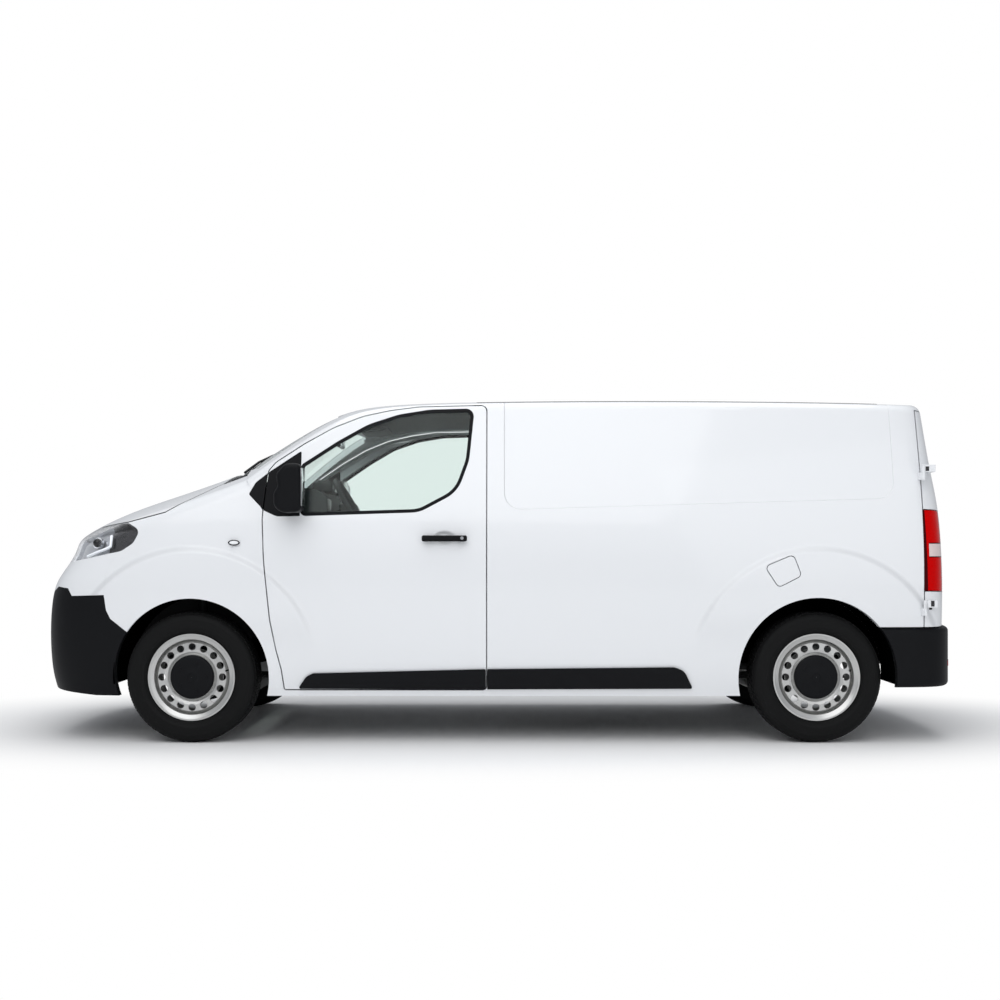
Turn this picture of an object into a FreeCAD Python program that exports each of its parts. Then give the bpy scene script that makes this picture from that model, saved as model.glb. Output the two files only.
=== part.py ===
import FreeCAD, Part
import math
import os
import Sketcher
from FreeCAD import Placement, Rotation, Vector

# Panel van, built in millimetres.
# -X is the front, -Y the driver's side, +Z up; the origin is on the ground at mid length.

doc = FreeCAD.newDocument("PanelVan")

# Driving dimensions
SIZES = [
    ("wheelbase", 3275, "front axle to rear axle"),
    ("front_overhang", 900, "front axle to the foremost point of the bumper"),
    ("rear_overhang", 805, "rear axle to the rearmost point of the bumper"),
    ("half_width", 957, "middle plane to the widest line of the sides"),
    ("roof_height", 1858, "ground to the roof on the middle plane"),
    ("belt_height", 1215, "ground to the foot of the door glass"),
    ("sill_height", 245, "ground to the underside of the sills"),
    ("shoulder_round", 60, "radius between roof and sides"),
    ("wing_round", 90, "radius between bonnet and wings"),
    ("wall", 45, "depth of a body side from skin to lining"),
    ("roof_depth", 30, "depth of the roof from skin to lining"),
    ("door_depth", 70, "depth of a front door"),
    ("hem_depth", 18, "depth of a door's hemmed edge"),
    ("rear_door_depth", 55, "depth of a rear door"),
    ("skin", 14, "depth of a bolted wing"),
    ("bonnet_depth", 22, "depth of the bonnet"),
    ("bumper_depth", 40, "depth of bumper and front mask"),
    ("lamp_depth", 110, "depth of a headlamp"),
    ("glass_depth", 5, "thickness of the glass"),
    ("glass_inset", 6, "skin of the frame to the face of the glass"),
    ("shut_gap", 6, "gap along a shut line"),
    ("seat_gap", 0.3, "gap between fitted pieces"),
    ("window_frame", 18, "width of the black frame round the door glass"),
    ("track_half", 814, "middle plane to the middle of a tyre"),
    ("axle_height", 343, "ground to the wheel centres"),
    ("tyre_width", 215, "section width of a tyre"),
    ("rim_flange", 228, "radius of the rim's flange"),
    ("rim_width", 178, "width of the rim over its flanges"),
    ("rim_wall", 5, "thickness of the rim and disc"),
    ("vent_hole", 19, "radius of a vent hole in the disc"),
    ("vent_circle", 159, "radius of the circle of vent holes"),
    ("vent_count", 16, "vent holes in a disc"),
    ("cap_radius", 115, "radius of the centre cap"),
    ("spindle_radius", 25, "radius of a wheel spindle"),
    ("front_arch", 408, "radius of a front wheel arch"),
    ("rear_arch", 412, "radius of a rear wheel arch"),
    ("arch_lift", 6, "arch centre above the wheel centre"),
    ("floor_top", 565, "ground to the load floor"),
    ("cab_floor_top", 470, "ground to the cab floor"),
    ("floor_depth", 40, "depth of the floor pan"),
    ("bay_half", 500, "middle plane to the side wall of the engine bay"),
    ("rail_width", 60, "width of a chassis rail"),
    ("box_half", 622, "middle plane to the rear wheel boxes"),
    ("door_front", 378, "front axle to the front door's foremost point"),
    ("pillar_line", 1544, "front axle to the rear shut line of the front door"),
    ("rear_line", 558, "rear axle to the shut line of the rear doors"),
    ("roof_half", 690, "middle plane to the edge of the roof panel"),
    ("door_foot", 281, "ground to the foot of the doors"),
    ("bumper_top", 602, "ground to the top of the rear bumper"),
    ("lamp_foot", 800, "ground to the foot of the tail lamps"),
    ("lamp_head", 1220, "ground to the head of the tail lamps"),
    ("hinge_out", 954, "middle plane to the foot of a rear door's hinge line"),
    ("hinge_foot", 708, "ground to the lower hinges of the rear doors"),
    ("hinge_head", 1416, "ground to the upper hinges of the rear doors"),
    ("hinge_lean", 0.0524, "rear hinge line's lean inwards for each unit of height"),
    ("strip_proud", 12, "rub strips proud of the skin"),
    ("door_step", 25, "hemmed edge of a front door beyond its inner panel"),
    ("bulkhead_set", 150, "front door's rear shut line to the bulkhead"),
    ("bulkhead_depth", 8, "depth of the bulkhead"),
    ("cowl_set", 125, "front axle to the rear edge of the bonnet"),
    ("lamp_sweep", 188, "reach of a tail lamp from the rear door's hinge line"),
    ("hood_gap", 6, "gap round the bonnet"),
    ("wheel_rim_radius", 185, "radius of the steering wheel"),
    ("wheel_grip", 15, "radius of the steering wheel's grip"),
    ("seat_width", 500, "width of the driver's seat"),
    ("bench_width", 930, "width of the passengers' bench"),
]
sheet = doc.addObject("Spreadsheet::Sheet", "Sizes")
for row, (alias, value, meaning) in enumerate(SIZES, start=1):
    sheet.set("A%d" % row, alias)
    sheet.set("B%d" % row, str(value))
    sheet.set("C%d" % row, meaning)
    sheet.setAlias("B%d" % row, alias)
doc.recompute()


class Named:
    """The sheet's values by their names."""

    def __getattr__(self, alias):
        return float(sheet.get(alias))


size = Named()
LENGTH = size.front_overhang + size.wheelbase + size.rear_overhang
FA = size.front_overhang - LENGTH / 2.0
RA = FA + size.wheelbase
NOSE = -LENGTH / 2.0
TAIL = LENGTH / 2.0
WIDTH = size.half_width
FAR = 4000.0
LEFT = -1
RIGHT = 1
SIDES = (("left", LEFT), ("right", RIGHT))
parts = []


def feature(label, shape):
    """Adds a sub-part whose form is a free curved shape."""
    item = doc.addObject("Part::Feature", "".join(w.capitalize() for w in label.split("_")))
    item.Label = label
    item.Shape = shape
    parts.append(item)
    return item


def block(x0, x1, y0, y1, z0, z1):
    """A box between two corners."""
    return Part.makeBox(x1 - x0, y1 - y0, z1 - z0, Vector(x0, y0, z0))


def spline(points):
    """A smooth curve drawn by its poles."""
    curve = Part.BSplineCurve()
    curve.buildFromPoles([Vector(*p) for p in points], False, 3)
    return curve.toShape()


def rounded(points, radius):
    """A closed outline through points (a, b), its corners rounded by one radius or a list."""
    count = len(points)
    radii = [radius] * count if isinstance(radius, (int, float)) else radius
    edges = []
    start = []
    stop = []
    for i in range(count):
        here = Vector(points[i][0], points[i][1], 0)
        back = Vector(points[i - 1][0], points[i - 1][1], 0) - here
        ahead = Vector(points[(i + 1) % count][0], points[(i + 1) % count][1], 0) - here
        half = back.getAngle(ahead) / 2.0
        cut = 0.0
        if radii[i] > 0 and abs(half - math.pi / 2) > 1e-3:
            cut = min(radii[i] / math.tan(half), back.Length * 0.48, ahead.Length * 0.48)
        a = here + back.normalize() * cut
        b = here + ahead.normalize() * cut
        start.append(a)
        stop.append(b)
        if cut > 0:
            reach = cut * math.tan(half)
            middle = here + (back + ahead).normalize() * (cut / math.cos(half) - reach)
            edges.append(Part.Arc(a, middle, b).toShape())
    outline = []
    k = 0
    for i in range(count):
        if (start[i] - stop[i]).Length > 1e-6:
            outline.append(edges[k])
            k += 1
        nxt = (i + 1) % count
        if (stop[i] - start[nxt]).Length > 1e-6:
            outline.append(Part.makeLine(stop[i], start[nxt]))
    return Part.Wire(outline)


def grown(wire, amount):
    """The same outline moved outwards, or inwards where amount is negative."""
    return wire.makeOffset2D(amount) if amount else wire


def region(whole, holes):
    """A flat outline less some other outlines."""
    return Part.Face(whole).cut([Part.Face(hole) for hole in holes]).Faces


def side_region(faces, y0=-FAR / 2, y1=0.0):
    """Side-view areas (x, z) carried across from y0 to y1."""
    area = Part.makeCompound(faces)
    area.transformShape(FreeCAD.Matrix(1, 0, 0, 0, 0, 0, -1, y1, 0, 1, 0, 0))
    return area.extrude(Vector(0, y0 - y1, 0))


def side_prism(wire, y0=-FAR / 2, y1=FAR / 2):
    """A side-view outline (x, z) carried across from y0 to y1."""
    face = Part.Face(wire)
    face.transformShape(FreeCAD.Matrix(1, 0, 0, 0, 0, 0, -1, y1, 0, 1, 0, 0))
    return face.extrude(Vector(0, y0 - y1, 0))


def plan_prism(wire, z0, z1):
    """A plan outline (x, y) carried up from z0 to z1."""
    face = Part.Face(wire)
    face.translate(Vector(0, 0, z0))
    return face.extrude(Vector(0, 0, z1 - z0))


def front_prism(wire, x0, x1):
    """A front-view outline (y, z) carried along from x0 to x1."""
    face = Part.Face(wire)
    face.transformShape(FreeCAD.Matrix(0, 0, 1, x0, 1, 0, 0, 0, 0, 1, 0, 0))
    return face.extrude(Vector(x1 - x0, 0, 0))


def disc(x, z, radius, y0, y1):
    """A cylinder across the van."""
    return Part.makeCylinder(radius, y1 - y0, Vector(x, y0, z), Vector(0, 1, 0))


def tube(a, b, radius):
    """A round bar from a to b."""
    axis = Vector(*b) - Vector(*a)
    return Part.makeCylinder(radius, axis.Length, Vector(*a), axis)


def mirrored(shape):
    """The same shape on the other side of the middle plane."""
    return shape.mirror(Vector(0, 0, 0), Vector(0, 1, 0))


def solid(shape, keep=1):
    """The largest solids of a cut, as one shape."""
    found = sorted(shape.Solids, key=lambda s: -s.Volume)[:keep]
    return found[0] if keep == 1 else Part.makeCompound(found)


# Outer form: plan outlines stacked up the height, trimmed by the profile of cab or bonnet.
# Each level: height, half width short of the widest, nose behind the foremost, tail ahead of the last
LEVELS = [
    (150, 92, 60, 60),
    (280, 52, 18, 40),
    (400, 27, 2, 32),
    (620, 9, 2, 30),
    (780, 2, 20, 30),
    (860, 0, 50, 31),
    (960, 1, 130, 34),
    (1050, 7, 165, 36),
    (1250, 32, 200, 44),
    (1450, 74, 225, 76),
    (1600, 108, 240, 90),
    (1750, 145, 255, 104),
    (1900, 182, 275, 116),
]
TOP_LEVEL = 1858.0


def stretched(z):
    """A height above the belt, carried with the roof."""
    if z <= size.belt_height:
        return z
    share = (z - size.belt_height) / (TOP_LEVEL - size.belt_height)
    return size.belt_height + share * (size.roof_height - size.belt_height)


def plan_poles(level, inset, side):
    """Poles of half the plan outline at one level, set in by a wall's depth."""
    height, narrow, behind, ahead = level
    z = stretched(height) + (inset if level is LEVELS[0] else 0)
    w = WIDTH - narrow - inset
    front = NOSE + behind + inset
    rear = TAIL - ahead - inset
    return [
        Vector(front, 0, z),
        Vector(front, side * 300, z),
        Vector(front + 50, side * (w - 330), z),
        Vector(front + 150, side * (w - 95), z),
        Vector(front + 450, side * (w - 35), z),
        Vector(front + 900, side * (w - 5), z),
        Vector(front + 1500, side * w, z),
        Vector((front + rear) / 2, side * w, z),
        Vector(rear - 1000, side * w, z),
        Vector(rear - 480, side * (w - 2), z),
        Vector(rear - 235, side * (w - 10), z),
        Vector(rear - 125, side * (w - 42), z),
        Vector(rear - 52, side * (w - 225), z),
        Vector(rear, side * (w - 520), z),
        Vector(rear, 0, z),
    ]


def smooth_skin(rows, across):
    """A smooth surface drawn by rows of poles; across is its degree from row to row."""
    skin = Part.BSplineSurface()
    knots = [float(k) for k in range(len(rows) - across + 1)]
    ends = [float(k) for k in range(len(rows[0]) - 2)]
    skin.buildFromPolesMultsKnots(
        rows,
        [across + 1] + [1] * (len(knots) - 2) + [across + 1],
        [4] + [1] * (len(ends) - 2) + [4],
        knots, ends, False, False, across, 3)
    return skin.toShape()


def flat_edge(face, top):
    """The highest or lowest level edge of a side skin."""
    level = [e for e in face.Edges if e.BoundBox.ZLength < 1e-3]
    level.sort(key=lambda e: e.BoundBox.ZMin)
    return level[-1] if top else level[0]


def sides(inset):
    """The closed form of the van's sides, nose and tail, from below the sills to above the roof."""
    skins = [smooth_skin([plan_poles(level, inset, side) for level in LEVELS], 3) for side in (LEFT, RIGHT)]
    caps = [Part.Face(Part.Wire([flat_edge(skin, top) for skin in skins])) for top in (False, True)]
    shell = Part.makeShell(skins + caps)
    shell.sewShape()
    form = Part.makeSolid(shell)
    return form if form.Volume > 0 else form.reversed()


# Profiles on the middle plane, distances from the front axle and heights
CAB_PROFILE = [(-510, 1000), (-210, 1205), (90, 1415), (290, 1555), (490, 1680), (650, 1768),
               (790, 1815), (990, 1838), (1390, 1852), (2190, 1858)]
CAB_TAIL = [(-185, 1853), (415, 1840), (1015, 1815)]
BONNET_PROFILE = [(-1110, 600), (-910, 870), (-830, 985), (-750, 1095), (-610, 1180), (-410, 1265),
                  (-160, 1345), (90, 1433), (390, 1545), (690, 1660)]
ROOF_CROWN = 95
ROOF_SWEEP = 190
BONNET_CROWN = 130
BONNET_SWEEP = 120
CROWN_REACH = 1000.0


def profile_body(points, crown, sweep, inset):
    """The space under a lengthwise profile that falls and sweeps back towards the sides."""
    moved = []
    for i, (x, z) in enumerate(points):
        a = points[max(i - 1, 0)]
        b = points[min(i + 1, len(points) - 1)]
        run = math.hypot(b[0] - a[0], b[1] - a[1])
        moved.append((x + inset * (b[1] - a[1]) / run, z - inset * (b[0] - a[0]) / run))
    rows = []
    for reach, lift in ((-CROWN_REACH, -crown), (0.0, crown), (CROWN_REACH, -crown)):
        shift = -sweep * lift / crown
        rows.append([Vector(x + shift, reach, z + lift) for x, z in moved])
    return smooth_skin(rows, 2).extrude(Vector(0, 0, -3000))


def hollow(outer, inner):
    """A closed form with a smaller one taken out of its middle."""
    return Part.makeSolid(Part.makeCompound([outer.Shells[0], inner.Shells[0].reversed()]))


def cab_form(inset):
    """Cab and load space, from the windscreen to the tail."""
    points = [(FA + x, stretched(z)) for x, z in CAB_PROFILE]
    points += [(RA + x, stretched(z)) for x, z in CAB_TAIL]
    form = profile_body(points, ROOF_CROWN, ROOF_SWEEP, inset).common(sides(inset))
    rails = [e for e in form.Edges
             if e.BoundBox.ZMax > size.belt_height + 200 and e.BoundBox.XLength > size.wheelbase / 2]
    return form.makeFillet(max(size.shoulder_round - inset, 8), rails)


def bonnet_form(inset):
    """The front end, from the nose to the windscreen."""
    points = [(FA + x, stretched(z)) for x, z in BONNET_PROFILE]
    (x0, z0), (x1, z1) = points[-2:]
    points[-1] = (x1 - 2 * inset, z1 - 2 * inset * (z1 - z0) / (x1 - x0))
    form = profile_body(points, BONNET_CROWN, BONNET_SWEEP, inset).common(sides(inset))
    edges = [e for e in form.Edges
             if e.BoundBox.ZMin > 500 and size.wheelbase > e.BoundBox.XLength > 1000]
    return form.makeFillet(max(size.wing_round - inset, 8), edges)


CAB = cab_form(0)
CAB_IN = cab_form(size.wall)
CAB_FIT = cab_form(size.wall + size.seat_gap)
CAB_DEEP = cab_form(size.wall * 2)
CAB_HEM = cab_form(size.hem_depth)
NOSE_OUT = bonnet_form(0)

# Lines that the panels share
PILLAR = FA + size.pillar_line
REAR_LINE = RA + size.rear_line
HINGE = FA + size.door_front
ARCH_HEIGHT = size.axle_height + size.arch_lift
HALF_GAP = size.shut_gap / 2.0
COWL_LINE = FA + size.cowl_set
BONNET_LINE = [(-1000, 1020), (-850, 1036), (-714, 1068), (-556, 1136), (-345, 1160), (-143, 1211),
               (-37, 1275), (110, 1365), (size.cowl_set, 1377)]


def at_front(points):
    """Outline points given from the front axle."""
    return [(FA + x, stretched(z)) for x, z in points]


def at_rear(points):
    """Outline points given from the rear axle."""
    return [(RA + x, stretched(z)) for x, z in points]


# Side-view outlines
DOOR_OUTLINE = rounded(
    at_front([(378, 1180), (389, 958), (420, 646), (451, 490), (477, 385), (490, size.door_foot)])
    + [(PILLAR, size.door_foot), (PILLAR, stretched(1776))]
    + at_front([(1190, 1768), (1040, 1748), (890, 1715), (740, 1655), (590, 1570), (440, 1470), (403, 1424)]),
    [300, 200, 200, 150, 100, 8, 20, 30, 300, 300, 300, 300, 300, 60, 60])
WINDOW_OUTLINE = rounded(
    at_front([(590, 1205), (1190, 1224), (1380, 1326), (1437, 1486), (1462, 1743), (1245, 1737),
              (1085, 1711), (926, 1658), (768, 1567), (590, 1448)]),
    [12, 150, 160, 200, 25, 300, 300, 300, 300, 12])
TRIANGLE_OUTLINE = rounded(
    at_front([(301, 1302), (336, 1364), (408, 1422), (572, 1533), (572, 1187), (450, 1185), (385, 1215)]),
    [12, 60, 100, 6, 6, 60, 60])
BONNET_OUTLINE = Part.makePolygon(
    [Vector(x, z, 0) for x, z in at_front(BONNET_LINE) + [(COWL_LINE, 2000), (NOSE - 200, 2000)]
     + at_front(BONNET_LINE[:1])])
LAMP_OUTLINE = rounded(
    at_front([(-340, 1152), (-556, 1128), (-714, 1060), (-850, 1028), (-1000, 1012), (-1000, 900),
              (-880, 915), (-710, 941), (-541, 970), (-369, 1004), (-304, 1046), (-271, 1113)]),
    [40, 200, 200, 100, 0, 0, 100, 300, 300, 60, 60, 30])
BUMPER_OUTLINE = Part.makePolygon([Vector(x, z, 0) for x, z in at_front(
    [(-1000, 745), (-850, 748), (-735, 815), (-665, 808), (-640, 768), (-458, 774), (-446, 694),
     (-424, 650), (-336, 581), (-300, 400), (-300, 242), (-520, 242), (-1000, 285), (-1000, 745)])])
JOINT_LINE = [(-383, 1003), (-430, 935), (-452, 860), (-458, 774)]


def side_half(shape, side):
    """The part of a shape on one side of the middle plane."""
    return shape.common(block(-FAR, FAR, min(0, side * FAR), max(0, side * FAR), 0, FAR))


def arch(x, radius):
    """The round of a wheel arch, through both sides."""
    return disc(x, ARCH_HEIGHT, radius, -FAR / 2, FAR / 2)


# Body openings in plan
SCREEN_OUTLINE = rounded(
    [(FA + x, y) for x, y in ((165, -420), (330, -778), (770, -610), (690, -330),
                              (690, 330), (770, 610), (330, 778), (165, 420))],
    [600, 12, 60, 500, 500, 60, 12, 600])
ROOF_OUTLINE = rounded(
    [(FA + 700, -size.roof_half), (TAIL + 50, -size.roof_half), (TAIL + 50, size.roof_half),
     (FA + 700, size.roof_half)], 0)


# Body panels
def cab_skin(inset, depth):
    """The skin of the cab form between two insets."""
    return hollow(cab_form(inset) if inset else CAB, cab_form(depth))


def nose_skin(depth):
    """The skin of the front end, from its face to a depth."""
    return hollow(NOSE_OUT, bonnet_form(depth))


def lower_cut(z):
    """Everything below a height."""
    return block(-FAR, FAR, -FAR, FAR, -FAR, z)


WALL_SHELL = hollow(CAB, CAB_IN)
DOOR_SHELL = cab_skin(0, size.door_depth)
SKIN_SHELL = hollow(CAB, CAB_HEM)
WINDOW_SHELL = cab_skin(size.glass_inset, size.glass_inset + size.glass_depth)
REAR_SHELL = cab_skin(0, size.rear_door_depth)
ROOF_SHELL = cab_skin(0, size.roof_depth)
WING_SHELL = nose_skin(size.skin)
BONNET_SHELL = nose_skin(size.bonnet_depth)
MASK_SHELL = nose_skin(size.bumper_depth)
LAMP_SHELL = nose_skin(size.lamp_depth)

SCREEN_HOLE = plan_prism(SCREEN_OUTLINE, stretched(1300), FAR)
ROOF_ZONE = plan_prism(ROOF_OUTLINE, stretched(1700), FAR).cut(
    plan_prism(grown(SCREEN_OUTLINE, HALF_GAP), 0, FAR))
DOOR_HOLE = side_prism(grown(DOOR_OUTLINE, size.shut_gap))
FRONT_ARCH = arch(FA, size.front_arch)
REAR_ARCH = arch(RA, size.rear_arch)
REAR_DOOR_TOP = stretched(1752)
TAIL_HOLE = block(REAR_LINE - size.shut_gap, FAR, -FAR, FAR, 0, REAR_DOOR_TOP + size.shut_gap)


def halves(label, left_shape):
    """A left sub-part and its mirrored right one."""
    feature(label + "_left", left_shape)
    feature(label + "_right", mirrored(left_shape))


def near(shape):
    """The driver's side of a shape."""
    return side_half(shape, LEFT)


def polygon(points):
    """A closed side-view outline with sharp corners."""
    return Part.makePolygon([Vector(x, z, 0) for x, z in points + points[:1]])


def round_box(x0, x1, y0, y1, z0, z1, radius):
    """A box with all its edges rounded."""
    form = block(x0, x1, y0, y1, z0, z1)
    return form.makeFillet(radius, form.Edges)


DOOR_LEFT = near(DOOR_SHELL)
SKIN_LEFT = near(SKIN_SHELL)
GLASS_LEFT = near(WINDOW_SHELL)
REAR_LEFT = near(REAR_SHELL)
WING_LEFT = near(WING_SHELL)
LAMP_LEFT = near(LAMP_SHELL)
CAB_OUT = cab_form(-size.seat_gap)
STRIP_LEFT = near(hollow(cab_form(-size.strip_proud), CAB_OUT))
POST_SHELL = near(hollow(CAB_IN, CAB_DEEP))
TRIANGLE = side_prism(TRIANGLE_OUTLINE)
BULKHEAD = PILLAR + size.bulkhead_set

# Windscreen and roof
screen = WINDOW_SHELL.common(plan_prism(grown(SCREEN_OUTLINE, -size.seat_gap), stretched(1300), FAR))
feature("windscreen", solid(screen))
roof = solid(ROOF_SHELL.common(ROOF_ZONE).cut(TAIL_HOLE))
feature("roof_panel", roof)

# Side frames: pillars, rail, sill and quarter panel in one pressing
WING_EDGE = [(264, 1411), (306, 1342), (320, 1300), (378, 1216), (383, 958), (414, 646), (445, 490),
             (471, 385), (482, size.door_foot)]
SLIDE_OUTLINE = rounded(
    [(PILLAR + size.shut_gap, size.door_foot), (PILLAR + 900, size.door_foot),
     (PILLAR + 1010, size.door_foot + 110), (PILLAR + 1010, stretched(1760)),
     (PILLAR + size.shut_gap, stretched(1760))], [10, 60, 60, 40, 10])
FLAP_OUTLINE = rounded(at_rear([(-279, 923), (-133, 984), (-92, 877), (-209, 817)]), 22)


HINGE_X = REAR_LINE - HALF_GAP


def hinge_point(z):
    """A point of the left rear door's leaning hinge line."""
    return Vector(HINGE_X, -size.hinge_out + size.hinge_lean * (z - size.hinge_foot), z)


def about_hinge(radius, z0, z1):
    """A cylinder about the left rear door's hinge line."""
    return tube(hinge_point(z0), hinge_point(z1), radius)


def outline_box(x0, x1, z0, z1):
    """A rectangle of the side view."""
    return polygon([(x0, z0), (x1, z0), (x1, z1), (x0, z1)])


def ring_line(x, z, radius):
    """A circle of the side view."""
    return Part.Wire(Part.makeCircle(radius, Vector(x, z, 0)))


DOOR_ROOM = grown(DOOR_OUTLINE, size.shut_gap)
wing_line = polygon(at_front([(-800, 1500), (100, 1500)] + WING_EDGE + [(-800, size.door_foot)]))
frame_area = region(outline_box(FA + 264, FAR, size.sill_height, FAR), [
    outline_box(RA + 250, FAR, 0, size.bumper_top + size.shut_gap),
    outline_box(REAR_LINE - size.shut_gap, FAR, 0, REAR_DOOR_TOP + size.shut_gap),
    DOOR_ROOM,
    ring_line(RA, ARCH_HEIGHT, size.rear_arch),
    ring_line(FA, ARCH_HEIGHT, size.front_arch),
    TRIANGLE_OUTLINE,
    wing_line,
])
roof_area = plan_prism(grown(ROOF_OUTLINE, size.seat_gap), stretched(1700), FAR).fuse(SCREEN_HOLE)
frame = solid(solid(WALL_SHELL.common(side_region(frame_area))).cut(roof_area))
pillar_area = region(outline_box(FA + 300, FA + 520, size.sill_height, 1411), [
    DOOR_ROOM, ring_line(FA, ARCH_HEIGHT, size.front_arch + 22), TRIANGLE_OUTLINE])
INNER_SHELL = near(cab_skin(size.hem_depth + 6, size.wall))
hinge_pillar = INNER_SHELL.common(side_region(pillar_area))
post = POST_SHELL.common(
    block(PILLAR - 12, PILLAR + 36, -FAR, -660, size.sill_height + 105, stretched(1800)))
bracket_area = []
for x1, z0, z1 in ((FA + 560, 470, 550), (FA + 520, 1000, 1080)):
    bracket_area += region(outline_box(FA + 340, x1, z0, z1), [
        grown(DOOR_OUTLINE, size.seat_gap - size.door_step), ring_line(FA, ARCH_HEIGHT, size.front_arch + 22)])
brackets = INNER_SHELL.common(side_region(bracket_area))
BARREL = 10
BARREL_RUN = 40
CAB_LUG = cab_form(6)
barrels = []
for z in (size.hinge_foot, size.hinge_head):
    lug = block(HINGE_X - 16, HINGE_X, -size.hinge_out, -700, z - BARREL_RUN, z - 1)
    lug = lug.common(block(-FAR, FAR, hinge_point(z).y, hinge_point(z).y + 110, 0, FAR)).cut(CAB_LUG)
    barrels.append(lug.fuse(about_hinge(BARREL, z - BARREL_RUN, z + 1 - size.seat_gap)))
frame = solid(frame.fuse([hinge_pillar, brackets, post] + barrels))
flap_pocket = near(cab_skin(-5, 32)).common(side_prism(grown(FLAP_OUTLINE, 4)))
feature("side_frame_left", solid(frame.cut(flap_pocket)))
frame_right = mirrored(frame).cut(side_prism(grown(SLIDE_OUTLINE, size.shut_gap), 0, FAR / 2).cut(
    mirrored(POST_SHELL)))
feature("side_frame_right", solid(frame_right))
slide = mirrored(near(cab_skin(0, size.wall - 1)).common(side_prism(SLIDE_OUTLINE)))
feature("sliding_door", solid(slide))
feature("fuel_flap", solid(near(cab_skin(0, 12)).common(side_prism(FLAP_OUTLINE))))

# Bonnet, wings, front mask, bumper, grille and headlamps
bonnet_prism = side_prism(BONNET_OUTLINE)
feature("bonnet", solid(BONNET_SHELL.common(bonnet_prism)))
below_bonnet = side_prism(BONNET_OUTLINE)
below_bonnet.translate(Vector(0, 0, -size.hood_gap))
LAMP_INNER = 505.0
middle = block(-FAR, FAR, -LAMP_INNER, LAMP_INNER, 0, FAR)
lamp_zone = side_prism(grown(LAMP_OUTLINE, 2 * size.seat_gap)).cut(middle)
bumper_prism = side_prism(BUMPER_OUTLINE)
bumper_room = side_prism(grown(BUMPER_OUTLINE, size.seat_gap))
joint = at_front(JOINT_LINE)
mask_zone = side_prism(polygon(joint + [(joint[-1][0], 0), (NOSE - 200, 0), (NOSE - 200, 2000),
                                        (joint[0][0], 2000)]))
wing_reach = side_prism(polygon(at_front([(-470, 500), (-470, 1300), (100, 1500)] + WING_EDGE
                                         + [(150, size.door_foot)])))
wing = WING_LEFT.common(wing_reach).cut([below_bonnet, lamp_zone, bumper_room, FRONT_ARCH, TRIANGLE, DOOR_HOLE])
wing = wing.cut(mask_zone.cut(block(-FAR, FAR, -FAR, FAR, joint[0][1], FAR)))
wing = wing.cut(block(COWL_LINE - 1, FAR, -700, 700, 0, FAR))
halves("wing", solid(wing))
lamp = LAMP_LEFT.common(side_prism(LAMP_OUTLINE)).cut([block(-FAR, FAR, -510, 510, 0, FAR), below_bonnet])
lamp = solid(lamp)
feature("headlamps", Part.makeCompound([lamp, mirrored(lamp)]))
GRILLE_OUTLINE = rounded([(-470, 945), (470, 945), (485, 1012), (-485, 1012)], 15)
mask = MASK_SHELL.common(block(-FAR, joint[0][0] + 1, -FAR, FAR, 700, 1200))
mask = mask.cut([below_bonnet, lamp_zone, bumper_room, front_prism(GRILLE_OUTLINE, NOSE - 100, FA)])
mask = mask.cut(block(FA - 470 - size.seat_gap, FAR, -FAR, FAR, joint[0][1] - size.seat_gap, FAR))
feature("front_mask", solid(mask.common(mask_zone)))
INTAKE_OUTLINE = rounded([(-560, 360), (560, 360), (640, 480), (610, 700), (-610, 700), (-640, 480)], 40)
intake = front_prism(INTAKE_OUTLINE, NOSE - 100, NOSE + 140)
bumper = MASK_SHELL.common(bumper_prism).cut([FRONT_ARCH, intake])
feature("bumper_front", solid(bumper))
slats = Part.makeCompound([block(NOSE - 50, NOSE + 140, -700, 700, z, z + 22)
                           for z in (395, 455, 515, 575, 635)])
lower = MASK_SHELL.common(slats).common(front_prism(grown(INTAKE_OUTLINE, -size.seat_gap),
                                                    NOSE - 100, NOSE + 139))
upper = MASK_SHELL.common(front_prism(grown(GRILLE_OUTLINE, -size.seat_gap), NOSE - 100, FA))
plinth = block(NOSE, NOSE + 60, -260, 260, 500, 612).fuse(lower.Solids)
feature("grille", Part.makeCompound(plinth.Solids + upper.Solids))

# Cowl under the windscreen, with the wipers and the fixed triangles ahead of the doors
def skin_height(x, y):
    """Height of the cab's upper skin at a place in plan."""
    hit = CAB_TOP.section(Part.makeLine(Vector(x, y, size.belt_height), Vector(x, y, FAR)))
    return max(v.Z for v in hit.Vertexes)


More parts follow.
